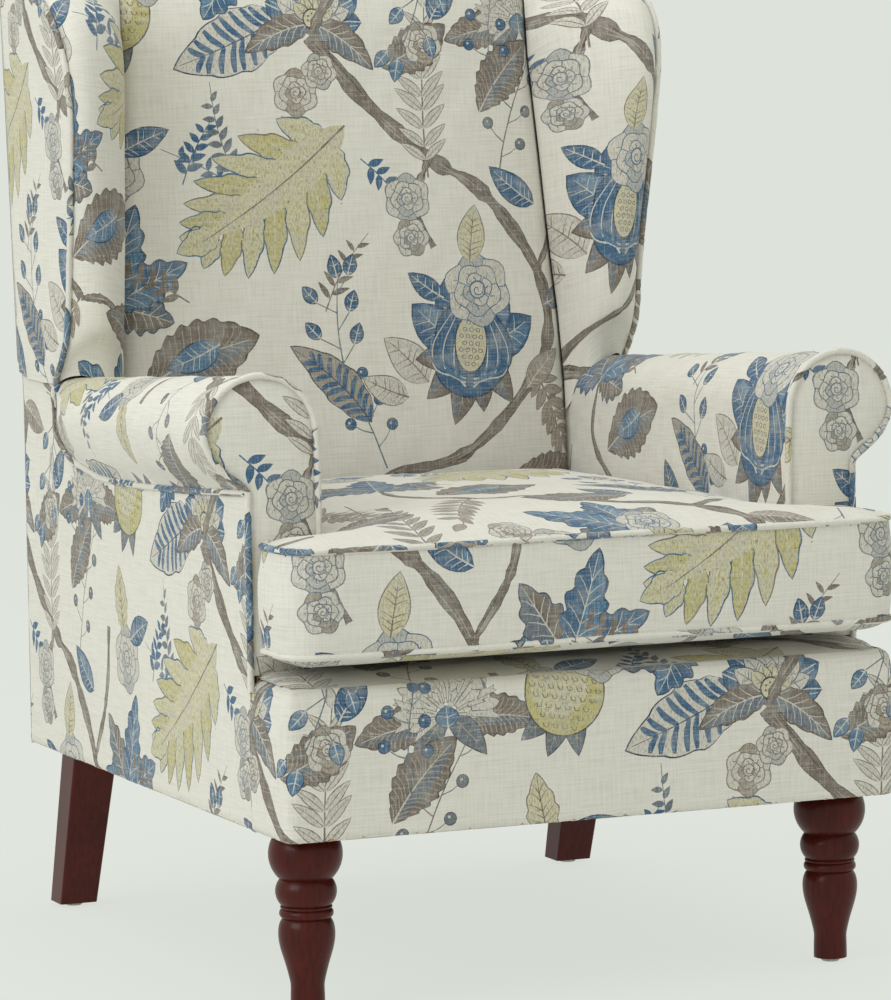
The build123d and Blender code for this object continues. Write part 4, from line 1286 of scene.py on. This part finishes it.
def wing_inner_surface():
    """Padded roll from the outer edge to the groove beside the inside back."""
    rows, cols = 160, 70
    rim = wing_rim(rows)
    keys = lengths(np.asarray(WING_RIM))
    s = lengths(rim) / lengths(rim)[-1] * keys[-1]
    y, z, _, _ = back_edge(np.interp(s, keys, np.array(WING_CREASE) * BACK_LONG / 0.790))
    out = rim_outward(rim)
    top = ease((rim[:, 2] - 0.93) / 0.05)[:, None]
    crease = np.column_stack([back_half_width(z) - 0.003, y + 0.004, z - 0.002 + 0.003 * top[:, 0]])
    reach = 0.034 * (1 - 0.62 * top)
    start = rim + out * 0.001 + (-0.0006, 0, 0)
    first = start + out * reach + (-0.012, 0, 0)
    toward = crease - start
    second = crease + out * (0.078 * (1 - 0.94 * top)) - toward * (0.20 + 0.1 * top)
    t = np.linspace(0, 1, cols)[None, :, None]
    grid = ((1 - t) ** 3 * start[:, None] + 3 * (1 - t) ** 2 * t * first[:, None]
            + 3 * (1 - t) * t**2 * second[:, None] + t**3 * crease[:, None])
    wide = float(np.linalg.norm(np.diff(grid, axis=1), axis=2).sum(axis=1)[: rows // 2].mean())
    long = float(lengths(grid[:, cols // 3])[-1])
    return Surface(grid, wide, long, flip=True)


def wing_outer_surface(y0, y1, z0, z1, outline):
    y = np.linspace(y0, y1, 90)[None, :]
    z = np.linspace(z0, z1, 130)[:, None]
    spots = np.stack([y + 0 * z, z + 0 * y], axis=-1)
    puff = 0.0045 * (1 - np.exp(-edge_distance(spots, outline) / 0.016))
    x = wing_side_x(y + 0 * z, z + 0 * y) - 0.0005 + puff + 0.0005 * ripple(y, z, 2.0)
    return Surface(np.stack([x, y + 0 * z, z + 0 * y], axis=-1), y1 - y0, z1 - z0)


def rear_y(z):
    return REAR_Y + np.clip((z - BEND_Z) / (TOP_Z - BEND_Z), 0, 1) * (TOP_REAR_Y - REAR_Y)


def wings():
    inner = wing_inner_surface()
    rim = wing_rim(120)[:, 1:]
    foot_z = rim[0, 1]
    rear = [(rear_y(z) - 0.002, z) for z in (0.9935, 0.90, 0.75, foot_z + 0.006)]
    foot = [(0.34, foot_z), (0.28, foot_z - 0.001)]
    outline = np.vstack([rim, rear, foot])
    y0, z0 = outline.min(axis=0) - 0.002
    y1, z1 = outline.max(axis=0) + 0.002
    outer = wing_outer_surface(y0, y1, z0, z1, outline)
    whole = [(0, 0), (inner.wide, 0), (inner.wide, inner.high), (0, inner.high)]
    for tag, left in (("l", True), ("r", False)):
        shift = (-0.235, -0.030) if left else (0.190, -0.030)
        part = cover_mesh(inner, whole, offset=shift, flip=not left)
        obj = piece(f"wing_inner_{tag}", [part], "chair", LINEN, mirror=left)
        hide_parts(f"wing_inner_cover_{tag}", f"wing_foam_{tag}")
        shift = (0.130, 0.050) if left else (-0.10, 0.05)
        part = cover_mesh(outer, outline - (y0, z0), offset=shift, flip=left)
        obj = piece(f"wing_outer_{tag}", [part], "chair", LINEN, mirror=left)
        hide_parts(f"wing_outer_cover_{tag}")


# ---------------------------------------------------------------- arms

ROLL_FRONT = {"y": -0.302, "inner": ARM_INNER_X, "r": (ARM_OUTER_X - ARM_INNER_X) / 2, "z": 0.5490}
ROLL_REAR = {"y": 0.190, "inner": 0.2580, "r": 0.0450, "z": 0.5310}
ROLL_END_Y = 0.2605
ROLL_CLOSE = 0.120  # length over which the roll's outer side rises from its rear welt
ARM_REAR_Y = 0.285  # end of the cloth, hidden behind the wing
ARM_FOOT_Z = 0.3205  # foot of the scroll panel, on the deck
# Y and Z of the seam along the side plane
SEAM_KEYS = [(-0.330, 0.4965), (-0.302, 0.4955), (-0.281, 0.4941), (-0.146, 0.4857), (-0.008, 0.4795),
             (0.092, 0.4776), (0.137, 0.4803), (0.203, 0.4899), (0.2439, 0.5069), (0.2555, 0.5210),
             (0.2605, 0.5500), (0.330, 0.5620)]
UNDER_ROLL = [(0, 0), (0.18, 0.15), (0.58, 0.40), (0.86, 0.68)]  # shares of the roll's reach and height


def seam_height(y):
    """Height of the seam under the roll, which climbs round the roll's rear end."""
    keys = smooth(SEAM_KEYS, 10)
    return np.interp(y, keys[:, 0], keys[:, 1])


def seam_stations(start):
    """Values of y along the seam, close together where it climbs."""
    return np.concatenate([np.linspace(start, 0.195, 60), np.linspace(0.200, ROLL_END_Y, 60)])


def arm_section(y, count=130):
    """Arm in X and Z at y: seam, roll and inner face, and the reach past the side plane."""
    f = (y - ROLL_FRONT["y"]) / (ROLL_REAR["y"] - ROLL_FRONT["y"])
    inner, r, z = (ROLL_FRONT[k] + f * (ROLL_REAR[k] - ROLL_FRONT[k]) for k in ("inner", "r", "z"))
    seam = float(seam_height(y))
    close = sin(pi / 2 * float(np.clip((ROLL_END_Y - y) / ROLL_CLOSE, 0, 1)))
    reach = inner + 2 * r - SIDE_X
    low = [(SIDE_X + reach * k, seam + (z - seam) * h) for k, h in UNDER_ROLL]
    a = np.radians(np.arange(0, 181, 15))
    roll = np.stack([inner + r + r * np.cos(a), z + r * np.sin(a)], axis=1)
    face = [(inner - 0.001, z - 0.03), (inner - 0.0015, z - 0.09), (inner - 0.001, 0.40), (inner, DECK_Z)]
    curve = evenly(smooth(np.vstack([low, roll, face]), 8), count)
    past = np.maximum(curve[:, 0] - SIDE_X, 0)
    curve[:, 0] = np.where(curve[:, 0] > SIDE_X, SIDE_X - 0.0008 + close * past, curve[:, 0])
    return curve, reach * close


def arm_surface():
    """Rows run from the front scroll to the wing, spaced by length along the roll's crest."""
    y = np.concatenate([np.linspace(ARM_FRONT_Y + 0.001, 0.150, 90), np.linspace(0.1515, ROLL_END_Y, 60),
                        np.linspace(ROLL_END_Y + 0.001, ARM_REAR_Y, 20)])
    sections, crest = [], []
    for one in y:
        curve, reach = arm_section(one)
        sections.append(np.column_stack([curve[:, 0], np.full(len(curve), one), curve[:, 1]]))
        crest.append((one, reach))
    s = lengths(np.array(crest))
    rows = np.interp(np.linspace(0, s[-1], 170), s, np.arange(len(y)))
    stack = np.array(sections)
    low = np.minimum(rows.astype(int), len(y) - 2)
    f = (rows - low)[:, None, None]
    grid = stack[low] * (1 - f) + stack[low + 1] * f
    wide = float(lengths(sections[45])[-1])
    a = np.linspace(0, wide, grid.shape[1])[None, :]
    b = np.linspace(0, s[-1], grid.shape[0])[:, None]
    normals = Surface(grid, wide, s[-1], flip=True).normals
    grid = grid + normals * (0.0008 * ripple(a, b, 3.0))[..., None]
    return Surface(grid, wide, s[-1], flip=True)


def scroll_outline(inset=0.0):
    """Front end of the arm in X and Z, down to the deck."""
    curve, _ = arm_section(ROLL_FRONT["y"], 90)
    outline = np.vstack([curve[:-1], [(ARM_INNER_X, ARM_FOOT_Z), (SIDE_X, ARM_FOOT_Z), (SIDE_X, 0.40)]])
    if inset:
        centre = np.array([0.300, 0.47])
        step = np.roll(outline, -1, axis=0) - np.roll(outline, 1, axis=0)
        side = np.stack([-step[:, 1], step[:, 0]], axis=1)
        side /= np.maximum(np.linalg.norm(side, axis=1, keepdims=True), 1e-9)
        inward = np.sign(np.einsum("ij,ij->i", side, centre - outline)).mean()
        outline = outline + side * inset * (1 if inward > 0 else -1)
    return outline


def arms():
    surface = arm_surface()
    whole = [(0, 0), (surface.wide, 0), (surface.wide, surface.high), (0, surface.high)]
    outline = scroll_outline(0.0015)
    x0, z0 = outline.min(axis=0) - 0.001
    x1, z1 = outline.max(axis=0) + 0.001
    x = np.linspace(x0, x1, 80)[None, :]
    z = np.linspace(z0, z1, 150)[:, None]
    spots = np.stack([x + 0 * z, z + 0 * x], axis=-1)
    puff = 0.0065 * (1 - np.exp(-edge_distance(spots, outline) / 0.013))
    y = ARM_FRONT_Y + 0.003 - puff - 0.0004 * ripple(x, z, 4.0)
    scroll = Surface(np.stack([x + 0 * z, y, z + 0 * x], axis=-1), x1 - x0, z1 - z0)
    curve, _ = arm_section(ROLL_FRONT["y"], 90)
    curve = np.vstack([[(SIDE_X, ARM_FOOT_Z - 0.014)], curve, [(ARM_INNER_X, ARM_FOOT_Z + 0.010)]])
    front_path = np.column_stack([curve[:, 0], np.full(len(curve), ARM_FRONT_Y + 0.0010), curve[:, 1]])
    seam_y = seam_stations(ARM_FRONT_Y + 0.0015)
    seam = np.column_stack([np.full(len(seam_y), SIDE_X + 0.0012), seam_y, seam_height(seam_y)])
    tuck = [(SIDE_X + 0.0012, ROLL_END_Y - 0.0030, 0.5600), (SIDE_X + 0.0006, ROLL_END_Y - 0.0110, 0.5672),
            (SIDE_X - 0.0040, ROLL_END_Y - 0.0180, 0.5705)]
    seam = np.vstack([seam[:-1], smooth(np.vstack([seam[-1:], tuck]), 6)])
    for tag, left in (("l", True), ("r", False)):
        if left:
            part = cover_mesh(surface, whole, turn=-90, offset=(0.06, 0.470), flip=False)
        else:
            part = cover_mesh(surface, whole, turn=90, offset=(0.20, 0.400), flip=True)
        obj = piece(f"arm_roll_{tag}", [part], "chair", LINEN, mirror=left)
        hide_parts(f"inside_arm_cover_{tag}", f"arm_foam_{tag}")
        shift = (0.10, 0.14) if left else (0.02, 0.06)
        part = cover_mesh(scroll, outline - (x0, z0), offset=shift, flip=left, cell=0.006)
        obj = piece(f"arm_scroll_{tag}", [part], "chair", LINEN, mirror=left)
        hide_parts(f"arm_front_panel_{tag}")
        parts = [cord_mesh(front_path, offset=(0.1 * left, 0.05)), cord_mesh(seam, offset=(0.2, 0.11 * left))]
        obj = piece(f"arm_welt_{tag}", parts, "chair", LINEN, mirror=left)
        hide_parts("arm_front_welts")
        rim = wing_rim(140)
        rim = rim + rim_outward(rim) * 0.0016 + (0.0024, 0, 0)
        rim = np.vstack([[(rim[0, 0] - 0.004, rim[0, 1] + 0.004, rim[0, 2] - 0.008)], rim[1:]])
        cord = cord_mesh(rim, offset=(0.3, 0.2 * left))
        obj = piece(f"wing_welt_{tag}", [cord], "chair", LINEN, mirror=left)
        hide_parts("wing_welts")


# ---------------------------------------------------------------- base, sides and outside back

CORNER_R = 0.012
FRONT_CUT_Y = ARM_FRONT_Y + 0.004


def border_profile():
    """Border from its turned-under foot to the roll at the lip: distance in from the face, and height."""
    points = [(0.012, BASE_Z + 0.0007), (0.0032, BASE_Z + 0.0005), (0.0009, BASE_Z + 0.0013),
              (-0.0003, BASE_Z + 0.0040), (-0.0006, BASE_Z + 0.012), (-0.0012, BASE_Z + 0.05),
              (-0.0014, LIP_Z - 0.05), (0.0002, LIP_Z - 0.016), (0.0035, LIP_Z - 0.0055),
              (0.0105, LIP_Z - 0.0008)]
    return evenly(smooth(points, 8), 60)


def front_border():
    """Front of the base with both corners and the short returns beside them."""
    turn = np.linspace(0, pi / 2, 12)
    right = [(SIDE_X - CORNER_R + CORNER_R * cos(a), BASE_FRONT_Y + CORNER_R - CORNER_R * sin(a))
             for a in turn]
    plan = np.array([(SIDE_X, FRONT_CUT_Y)] + right)
    plan = np.vstack([plan, plan[::-1] * (-1, 1)])[::-1]
    plan = evenly(plan, 260)
    step = np.gradient(plan, axis=0)
    step /= np.linalg.norm(step, axis=1, keepdims=True)
    inward = np.stack([-step[:, 1], step[:, 0]], axis=1)
    profile = border_profile()
    wave = 0.0006 * np.sin(plan[:, 0] * 19 + 1) + 0.0004 * np.sin(plan[:, 0] * 47)
    grid = np.zeros((len(profile), len(plan), 3))
    grid[..., :2] = plan[None] + inward[None] * (profile[:, :1] + wave[None] * 0.5)[..., None]
    grid[..., 2] = profile[:, 1:]
    wide, high = lengths(plan)[-1], lengths(profile)[-1]
    surface = Surface(grid, wide, high)
    whole = [(0, 0), (wide, 0), (wide, high), (0, high)]
    shift = (-0.026 - 0.183 - wide / 2, 0.498 - 0.285 + BASE_Z - 0.008)
    part = cover_mesh(surface, whole, offset=shift)
    obj = piece("front_border", [part], "chair", LINEN)
    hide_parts("front_rail_cover", "lip_pad")


def sides():
    """Outside arm panels, turned under at the foot."""
    y0, y1 = FRONT_CUT_Y, REAR_Y + 0.006
    profile = border_profile()
    foot = profile[profile[:, 1] < BASE_Z + 0.012]
    z = np.concatenate([foot[:, 1], np.linspace(BASE_Z + 0.0135, 0.575, 110)])
    inward = np.concatenate([foot[:, 0], np.full(110, -0.0002)])
    s = lengths(np.column_stack([inward, z]))
    levels = np.linspace(0, s[-1], 160)
    z, inward = np.interp(levels, s, z), np.interp(levels, s, inward)
    y = np.linspace(y0, y1, 150)[None, :]
    up = np.sin(pi * np.clip((z[:, None] - BASE_Z) / 0.33, 0, 1))
    belly = 0.0016 * up * np.sin(pi * (y - y0) / (y1 - y0))
    join = ease((y - y0) / 0.05)
    front_in = np.interp(z, profile[:, 1], profile[:, 0])[:, None]
    near_front = np.where(z[:, None] < LIP_Z - 0.02, front_in, inward[:, None])
    inset = inward[:, None] * join + near_front * (1 - join)
    rear_fold = 0.0005 * np.clip((y - REAR_Y + 0.006) / 0.006, 0, 1) ** 2
    x = SIDE_X - inset - rear_fold + belly * join + 0.0006 * ripple(y, z[:, None], 5.0) * join
    rear = np.minimum(y + 0 * z[:, None], rear_y(z)[:, None] - 0.0005)
    surface = Surface(np.stack([x, rear, z[:, None] + 0 * y], axis=-1), y1 - y0, s[-1])

    def height_to_cut(value):
        return float(np.interp(value, z, levels))

    seam_y = seam_stations(FRONT_CUT_Y)
    seam = [(one - y0, height_to_cut(seam_height(one) + 0.002)) for one in seam_y]
    top = height_to_cut(0.572)
    outline = [(0, 0), (y1 - y0, 0), (y1 - y0, top), (ROLL_END_Y + 0.0005 - y0, top)]
    outline = np.vstack([outline, seam[::-1]])
    for tag, left in (("l", True), ("r", False)):
        shift = (-0.212 - y0, 0.035 + BASE_Z) if left else (0.10, 0.20)
        part = cover_mesh(surface, outline, offset=shift, flip=left)
        obj = piece(f"outside_arm_{tag}", [part], "chair", LINEN, mirror=left)
        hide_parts(f"outside_arm_cover_{tag}")


def outside_back():
    half = 0.3275
    x = np.linspace(-half, half, 150)[None, :]
    face_y = REAR_Y + 0.0008
    line = [(REAR_Y - 0.0002, BASE_Z + 0.0004), (face_y - 0.0002, BASE_Z + 0.006), (face_y, BASE_Z + 0.030),
            (face_y, 0.40), (face_y, BEND_Z - 0.03), (face_y + 0.0012, BEND_Z + 0.015),
            (rear_y(0.70), 0.70), (rear_y(0.88), 0.88), (rear_y(0.985), 0.985), (TOP_REAR_Y - 0.0002, 0.9950),
            (TOP_REAR_Y - 0.002, 0.9985), (TOP_REAR_Y - 0.010, 0.9996)]
    line = evenly(smooth(line, 12), 240)
    z = line[:, 1:]
    width = np.interp(z, (0.50, 0.575, 0.60), (SIDE_X, SIDE_X, half - 0.0005))
    share = np.clip(np.abs(x) / width, 0, 1)
    fold = 0.0008 * np.clip((np.abs(x) - width + 0.006) / 0.006, 0, 1.0) ** 2
    puff = 0.0015 * (1 - share**6) * np.sin(pi * np.clip((z - BASE_Z) / 0.83, 0, 1))
    y = line[:, :1] - 0.0002 - fold + puff + 0.0004 * ripple(x, z, 6.0)
    grid = np.stack([x + 0 * z, y, z + 0 * x], axis=-1)
    long = float(lengths(line)[-1])
    surface = Surface(grid, 2 * half, long, flip=True)
    b = np.linspace(0, long, 70)
    height = np.interp(b, lengths(line), line[:, 1])
    edge = np.interp(height, (0.50, 0.572, 0.576), (SIDE_X, SIDE_X, half - 0.0005))
    right = np.column_stack([half + edge, b])
    left = np.column_stack([half - edge, b])[::-1]
    part = cover_mesh(surface, np.vstack([right, left]), offset=(half, -0.05), flip=True)
    obj = piece("outside_back", [part], "chair", LINEN)
    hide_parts("outside_back_cover")


def seat_deck():
    """Padded platform under the cushion, in plain ticking, with the printed lip in front."""
    half, front, rear = ARM_INNER_X - 0.003, ARM_FRONT_Y + 0.006, BACK_START_Y - 0.001
    x = np.linspace(-half, half, 60)[None, :]
    y = np.linspace(front, rear, 60)[:, None]
    rim = np.minimum(np.minimum(half - np.abs(x), y - front), rear - y)
    z = DECK_Z - 0.0012 - 0.010 * np.exp(-rim / 0.008) + 0.0004 * ripple(x, y, 7.0)
    top = Surface(np.stack([x + 0 * y, y + 0 * x, z], axis=-1), 2 * half, rear - front)
    outline = [(0, 0), (2 * half, 0), (2 * half, rear - front), (0, rear - front)]
    part = cover_mesh(top, outline, thick=0.020, printed=False, cell=0.012)
    obj = piece("seat_deck", [part], "chair", TICKING)
    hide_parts("deck_cover", "deck_pad")
    half = SIDE_X - 0.009
    front, rear = BASE_FRONT_Y + 0.009, ARM_FRONT_Y + 0.010
    x = np.linspace(-half, half, 120)[None, :]
    y = np.linspace(front, rear, 40)[:, None]
    rise = 0.0075 * ease((y - front) / 0.05)
    z = LIP_Z - 0.0008 + rise + 0.0005 * ripple(x, y, 8.0) - 0.004 * np.exp(-(half - np.abs(x)) / 0.008)
    lip = Surface(np.stack([x + 0 * y, y + 0 * x, z], axis=-1), 2 * half, rear - front)
    outline = [(0, 0), (2 * half, 0), (2 * half, rear - front), (0, rear - front)]
    part = cover_mesh(lip, outline, offset=(-0.52, 0.36), thick=0.006)
    obj = piece("seat_lip", [part], "chair", LINEN)


# ---------------------------------------------------------------- seat cushion


SETTLE_FRAMES = 20


def rounded(points, radii, steps=8):
    """Closed outline with a round at each corner."""
    points = np.asarray(points, float)
    out = []
    for before, at, after, r in zip(np.roll(points, 1, axis=0), points, np.roll(points, -1, axis=0), radii):
        if r <= 0:
            out.append(at[None])
            continue
        u, v = before - at, after - at
        u, v = u / np.linalg.norm(u), v / np.linalg.norm(v)
        half = np.arccos(np.clip(u @ v, -1, 1)) / 2
        reach = r / tan(half)
        centre = at + (u + v) / np.linalg.norm(u + v) * r / sin(half)
        a, b = at + u * reach - centre, at + v * reach - centre
        t = np.linspace(0, 1, steps)[:, None]
        arc = a * (1 - t) + b * t
        out.append(centre + arc / np.linalg.norm(arc, axis=1, keepdims=True) * r)
    return np.vstack(out)


def tee(inset=0.0):
    """Plan of the cushion, anticlockwise from the middle of its rear edge."""
    ear, body = CUSHION_HIGH.x + 0.0015 - inset, CUSHION_BODY_X - inset
    nose, shelf, rear = cad_low.y + inset, EAR_REAR_Y - inset, CUSHION_HIGH.y + 0.0015 - inset
    points = [(0, rear), (-body, rear), (-body, shelf), (-ear, shelf), (-ear, nose), (ear, nose),
              (ear, shelf), (body, shelf), (body, rear)]
    radii = [0, 0.018, 0.010, 0.026, 0.030, 0.030, 0.026, 0.010, 0.018]
    return rounded(points, [max(0.0, r - inset) if r else 0 for r in radii])


def swollen_cushion():
    """The pad blown up under its cover by a cloth simulation; returns a tree for rays."""
    outline = dense(tee(0.006), 0.012)
    count = len(outline)
    low, high = CUSHION_LOW.z + 0.004, WELT_HIGH_Z + 0.006
    verts = [(x, y, z) for z in (low, high) for x, y in outline]
    faces = [tuple(range(count))[::-1], tuple(range(count, 2 * count))]
    faces += [(k, (k + 1) % count, (k + 1) % count + count, k + count) for k in range(count)]
    mesh = bpy.data.meshes.new("pad")
    mesh.from_pydata(verts, [], faces)
    pad = bpy.data.objects.new("pad", mesh)
    bpy.context.scene.collection.objects.link(pad)
    bpy.context.view_layer.objects.active = pad
    remesh = pad.modifiers.new("voxels", "REMESH")
    remesh.mode = "VOXEL"
    remesh.voxel_size = 0.006
    cloth = pad.modifiers.new("cloth", "CLOTH")
    cloth.settings.use_pressure = True
    cloth.settings.uniform_pressure_force = 4.0
    cloth.settings.effector_weights.gravity = 0.0
    cloth.settings.mass = 0.3
    cloth.settings.tension_stiffness = 40
    cloth.settings.compression_stiffness = 40
    cloth.settings.bending_stiffness = 6
    cloth.settings.quality = 4
    cloth.point_cache.frame_start = 1
    cloth.point_cache.frame_end = SETTLE_FRAMES
    for number in range(1, SETTLE_FRAMES + 1):
        bpy.context.scene.frame_set(number)
    settled = pad.evaluated_get(bpy.context.evaluated_depsgraph_get()).to_mesh()
    points = np.array([v.co[:] for v in settled.vertices])
    polygons = [tuple(p.vertices) for p in settled.polygons]
    tree = BVHTree.FromPolygons(points.tolist(), polygons)
    pad.to_mesh_clear()
    bpy.data.objects.remove(pad)
    bpy.context.scene.frame_set(1)
    return tree


def blurred(field, rounds=6):
    for _ in range(rounds):
        padded = np.pad(field, 1, mode="edge")
        field = (padded[:-2, 1:-1] + padded[2:, 1:-1] + padded[1:-1, :-2] + padded[1:-1, 2:] + 4 * field) / 8
    return field


def cushion_faces(tree, outline):
    """Top and bottom surfaces: the swollen pad inside, drawn down to the cords at the edge."""
    low, high = outline.min(axis=0) - 0.002, outline.max(axis=0) + 0.002
    x = np.linspace(low[0], high[0], 130)
    y = np.linspace(low[1], high[1], 118)
    gx, gy = np.meshgrid(x, y)
    top = np.full(gx.shape, np.nan)
    for j in range(len(y)):
        for i in range(len(x)):
            hit = tree.ray_cast(Vector((x[i], y[j], 0.7)), Vector((0, 0, -1)))[0]
            if hit is not None:
                top[j, i] = hit.z
    top = np.where(np.isnan(top), WELT_HIGH_Z, top)
    top = blurred(top)
    spots = np.stack([gx, gy], axis=-1)
    distance = edge_distance(spots, dense(outline, 0.02))
    rise = top - WELT_HIGH_Z
    rise = rise / max(float(rise.max()), 1e-6)
    middle = (gy - low[1]) / (high[1] - low[1])
    across = np.clip(1 - (gx / 0.34) ** 2, 0, 1)
    dome = 0.62 + 0.38 * across * np.sin(pi * np.clip(0.12 + 0.80 * middle, 0, 1))
    shape = (0.25 * rise + 0.75) * dome
    crown = 0.0275 * shape * (1 - np.exp(-distance / 0.030))
    pucker = 0.0008 * np.sin(gx * 210 + 3 * np.sin(gy * 60)) * np.sin(gy * 190) * np.exp(-distance / 0.015)
    dents = 0.0012 * ripple(gx * 0.7, gy * 0.7, 9.0)
    z = WELT_HIGH_Z + crown + (pucker + dents) * (1 - np.exp(-distance / 0.006))
    upper = Surface(np.stack([gx, gy, z], axis=-1), high[0] - low[0], high[1] - low[1])
    sag = (WELT_LOW_Z - CUSHION_LOW.z + 0.0012) * (1 - np.exp(-distance / 0.014))
    grid = np.stack([gx, gy, WELT_LOW_Z - sag + pucker], axis=-1)
    under = Surface(grid, high[0] - low[0], high[1] - low[1], flip=True)
    return upper, under, low


def boxing_surface(outline):
    """Border of the cushion between its cords, with a shallow channel for the zip at the rear."""
    plan = evenly(np.vstack([outline, outline[:1]]), 420)
    step = np.gradient(plan, axis=0)
    step[0] = step[-1] = (-1, 0)
    step /= np.linalg.norm(step, axis=1, keepdims=True)
    outward = np.stack([step[:, 1], -step[:, 0]], axis=1)
    outward *= np.sign(outward[0, 1])
    t = np.linspace(0, 1, 40)[:, None]
    z = WELT_LOW_Z + t * (WELT_HIGH_Z - WELT_LOW_Z)
    s = lengths(plan)[None, :]
    bulge = 0.0042 * (1 - (2 * t - 1) ** 2) + 0.0007 * np.sin(s * 23 + 2 * t) * np.sin(pi * t)
    by_cords = np.exp(-t / 0.08) + np.exp(-(1 - t) / 0.08)
    bulge = bulge + 0.0006 * np.sin(s * 310 + 5 * np.sin(s * 40)) * by_cords
    rear = (np.abs(plan[:, 1] - CUSHION_HIGH.y - 0.0015) < 0.003) & (np.abs(plan[:, 0]) < 0.245)
    rear = blurred(rear.astype(float)[None], 3)[0][None, :]
    body = (np.abs(plan[:, 0]) < CUSHION_BODY_X + 0.004) & (plan[:, 1] > EAR_REAR_Y)
    bulge = bulge * np.where(body, 0.30, 1.0)[None, :]
    channel = np.exp(-(((z - (WELT_LOW_Z + WELT_HIGH_Z) / 2) / 0.018) ** 6))
    out = bulge * (1 - rear) - 0.0024 * rear * channel
    grid = np.zeros((40, len(plan), 3))
    grid[..., :2] = plan[None] + outward[None] * out[..., None]
    grid[..., 2] = z
    return Surface(grid, float(s[0, -1]), WELT_HIGH_Z - WELT_LOW_Z)


def seat_cushion():
    outline = tee()
    tree = swollen_cushion()
    upper, under, low = cushion_faces(tree, outline)
    border = boxing_surface(outline)
    cut = tee(0.0008) - low
    band = [(0, 0), (border.wide, 0), (border.wide, border.high), (0, border.high)]
    nose = border.wide / 2  # the cut starts at the middle of the rear, so the nose is half way round
    parts = [
        cover_mesh(upper, cut, offset=low + (-0.150, 0.32)),
        cover_mesh(border, band, offset=(-0.109 - 0.118 - nose, 0.278 - 0.403 + WELT_LOW_Z)),
        cover_mesh(under, cut, offset=(0.1, 0.3), flip=True),
    ]
    obj = piece("seat_cushion_cover", parts, "seat_cushion", LINEN)
    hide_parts("cushion_top", "cushion_boxing", "cushion_bottom", "cushion_foam")
    ring = evenly(np.vstack([outline, outline[:1]]), 700)
    wander = np.sin(lengths(ring) * 17) * 0.0006
    for name, z, node in (("cushion_cord_top", WELT_HIGH_Z, "cushion_welt_top"),
                          ("cushion_cord_bottom", WELT_LOW_Z, "cushion_welt_bottom")):
        path = np.column_stack([ring, z + wander])
        obj = piece(name, [cord_mesh(path, offset=(z, 0.0))], "seat_cushion", LINEN)
        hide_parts(node)


inside_back()
wings()
arms()
front_border()
sides()
outside_back()
seat_deck()
seat_cushion()


# ---------------------------------------------------------------- floor, light and camera

STUDIO = (0.955, 1.0, 0.930, 1.0)
STUDIO_LIGHT = 0.76
FLOOR_ALBEDO = 0.10


def studio_floor():
    """Pale floor, lit mostly from within so that it meets the world without a line."""
    m = Nodes("studio_floor")
    m.set(Base_Color=(FLOOR_ALBEDO, FLOOR_ALBEDO, FLOOR_ALBEDO, 1.0), Roughness=1.0, Specular_IOR_Level=0.0,
          Emission_Color=STUDIO, Emission_Strength=STUDIO_LIGHT * (1 - FLOOR_ALBEDO))
    half = 60.0
    mesh = bpy.data.meshes.new("studio_floor")
    corners = [(-half, -half, 0), (half, -half, 0), (half, half, 0), (-half, half, 0)]
    mesh.from_pydata(corners, [], [(0, 1, 2, 3)])
    mesh.materials.append(m.material)
    obj = bpy.data.objects.new("studio_floor", mesh)
    bpy.context.scene.collection.objects.link(obj)


def softbox(name, at, aim, size, power, colour=(1.0, 1.0, 1.0)):
    data = bpy.data.lights.new(name, "AREA")
    data.shape = "RECTANGLE"
    data.size, data.size_y = size
    data.energy = power
    data.color = colour
    obj = bpy.data.objects.new(name, data)
    obj.location = at
    obj.rotation_mode = "QUATERNION"
    obj.rotation_quaternion = (Vector(aim) - Vector(at)).to_track_quat("-Z", "Y")
    bpy.context.scene.collection.objects.link(obj)


studio_floor()
softbox("key", (-3.6, -1.3, 2.3), (0, 0, 0.5), (2.4, 2.0), 58, (0.96, 0.99, 1.0))
softbox("top", (-0.4, 0.2, 3.6), (0, 0, 0.4), (2.6, 2.6), 27)
world = bpy.data.worlds.new("studio")
world.use_nodes = True
world.node_tree.nodes["Background"].inputs["Color"].default_value = STUDIO
world.node_tree.nodes["Background"].inputs["Strength"].default_value = STUDIO_LIGHT
bpy.context.scene.world = world
bpy.context.scene.view_settings.view_transform = "Standard"

CAMERA_AT = Vector((-1.9132, -4.4928, 0.9105))
CAMERA_AZIMUTH = radians(-23.24)
CAMERA_DOWN = radians(5.41)
CAMERA_ROLL = -0.01434
forward = Vector((-sin(CAMERA_AZIMUTH) * cos(CAMERA_DOWN), cos(CAMERA_AZIMUTH) * cos(CAMERA_DOWN),
                  -sin(CAMERA_DOWN)))
level = Vector((cos(CAMERA_AZIMUTH), sin(CAMERA_AZIMUTH), 0))
upright = level.cross(forward)
right = level * cos(CAMERA_ROLL) + upright * sin(CAMERA_ROLL)
up = upright * cos(CAMERA_ROLL) - level * sin(CAMERA_ROLL)
lens = bpy.data.cameras.new("camera")
lens.lens = 171.66
lens.sensor_width = 36.0
lens.shift_x = -0.0045
camera = bpy.data.objects.new("camera", lens)
camera.matrix_world = Matrix((
    (right.x, up.x, -forward.x, CAMERA_AT.x),
    (right.y, up.y, -forward.y, CAMERA_AT.y),
    (right.z, up.z, -forward.z, CAMERA_AT.z),
    (0, 0, 0, 1),
))
bpy.context.scene.collection.objects.link(camera)
bpy.context.scene.camera = camera
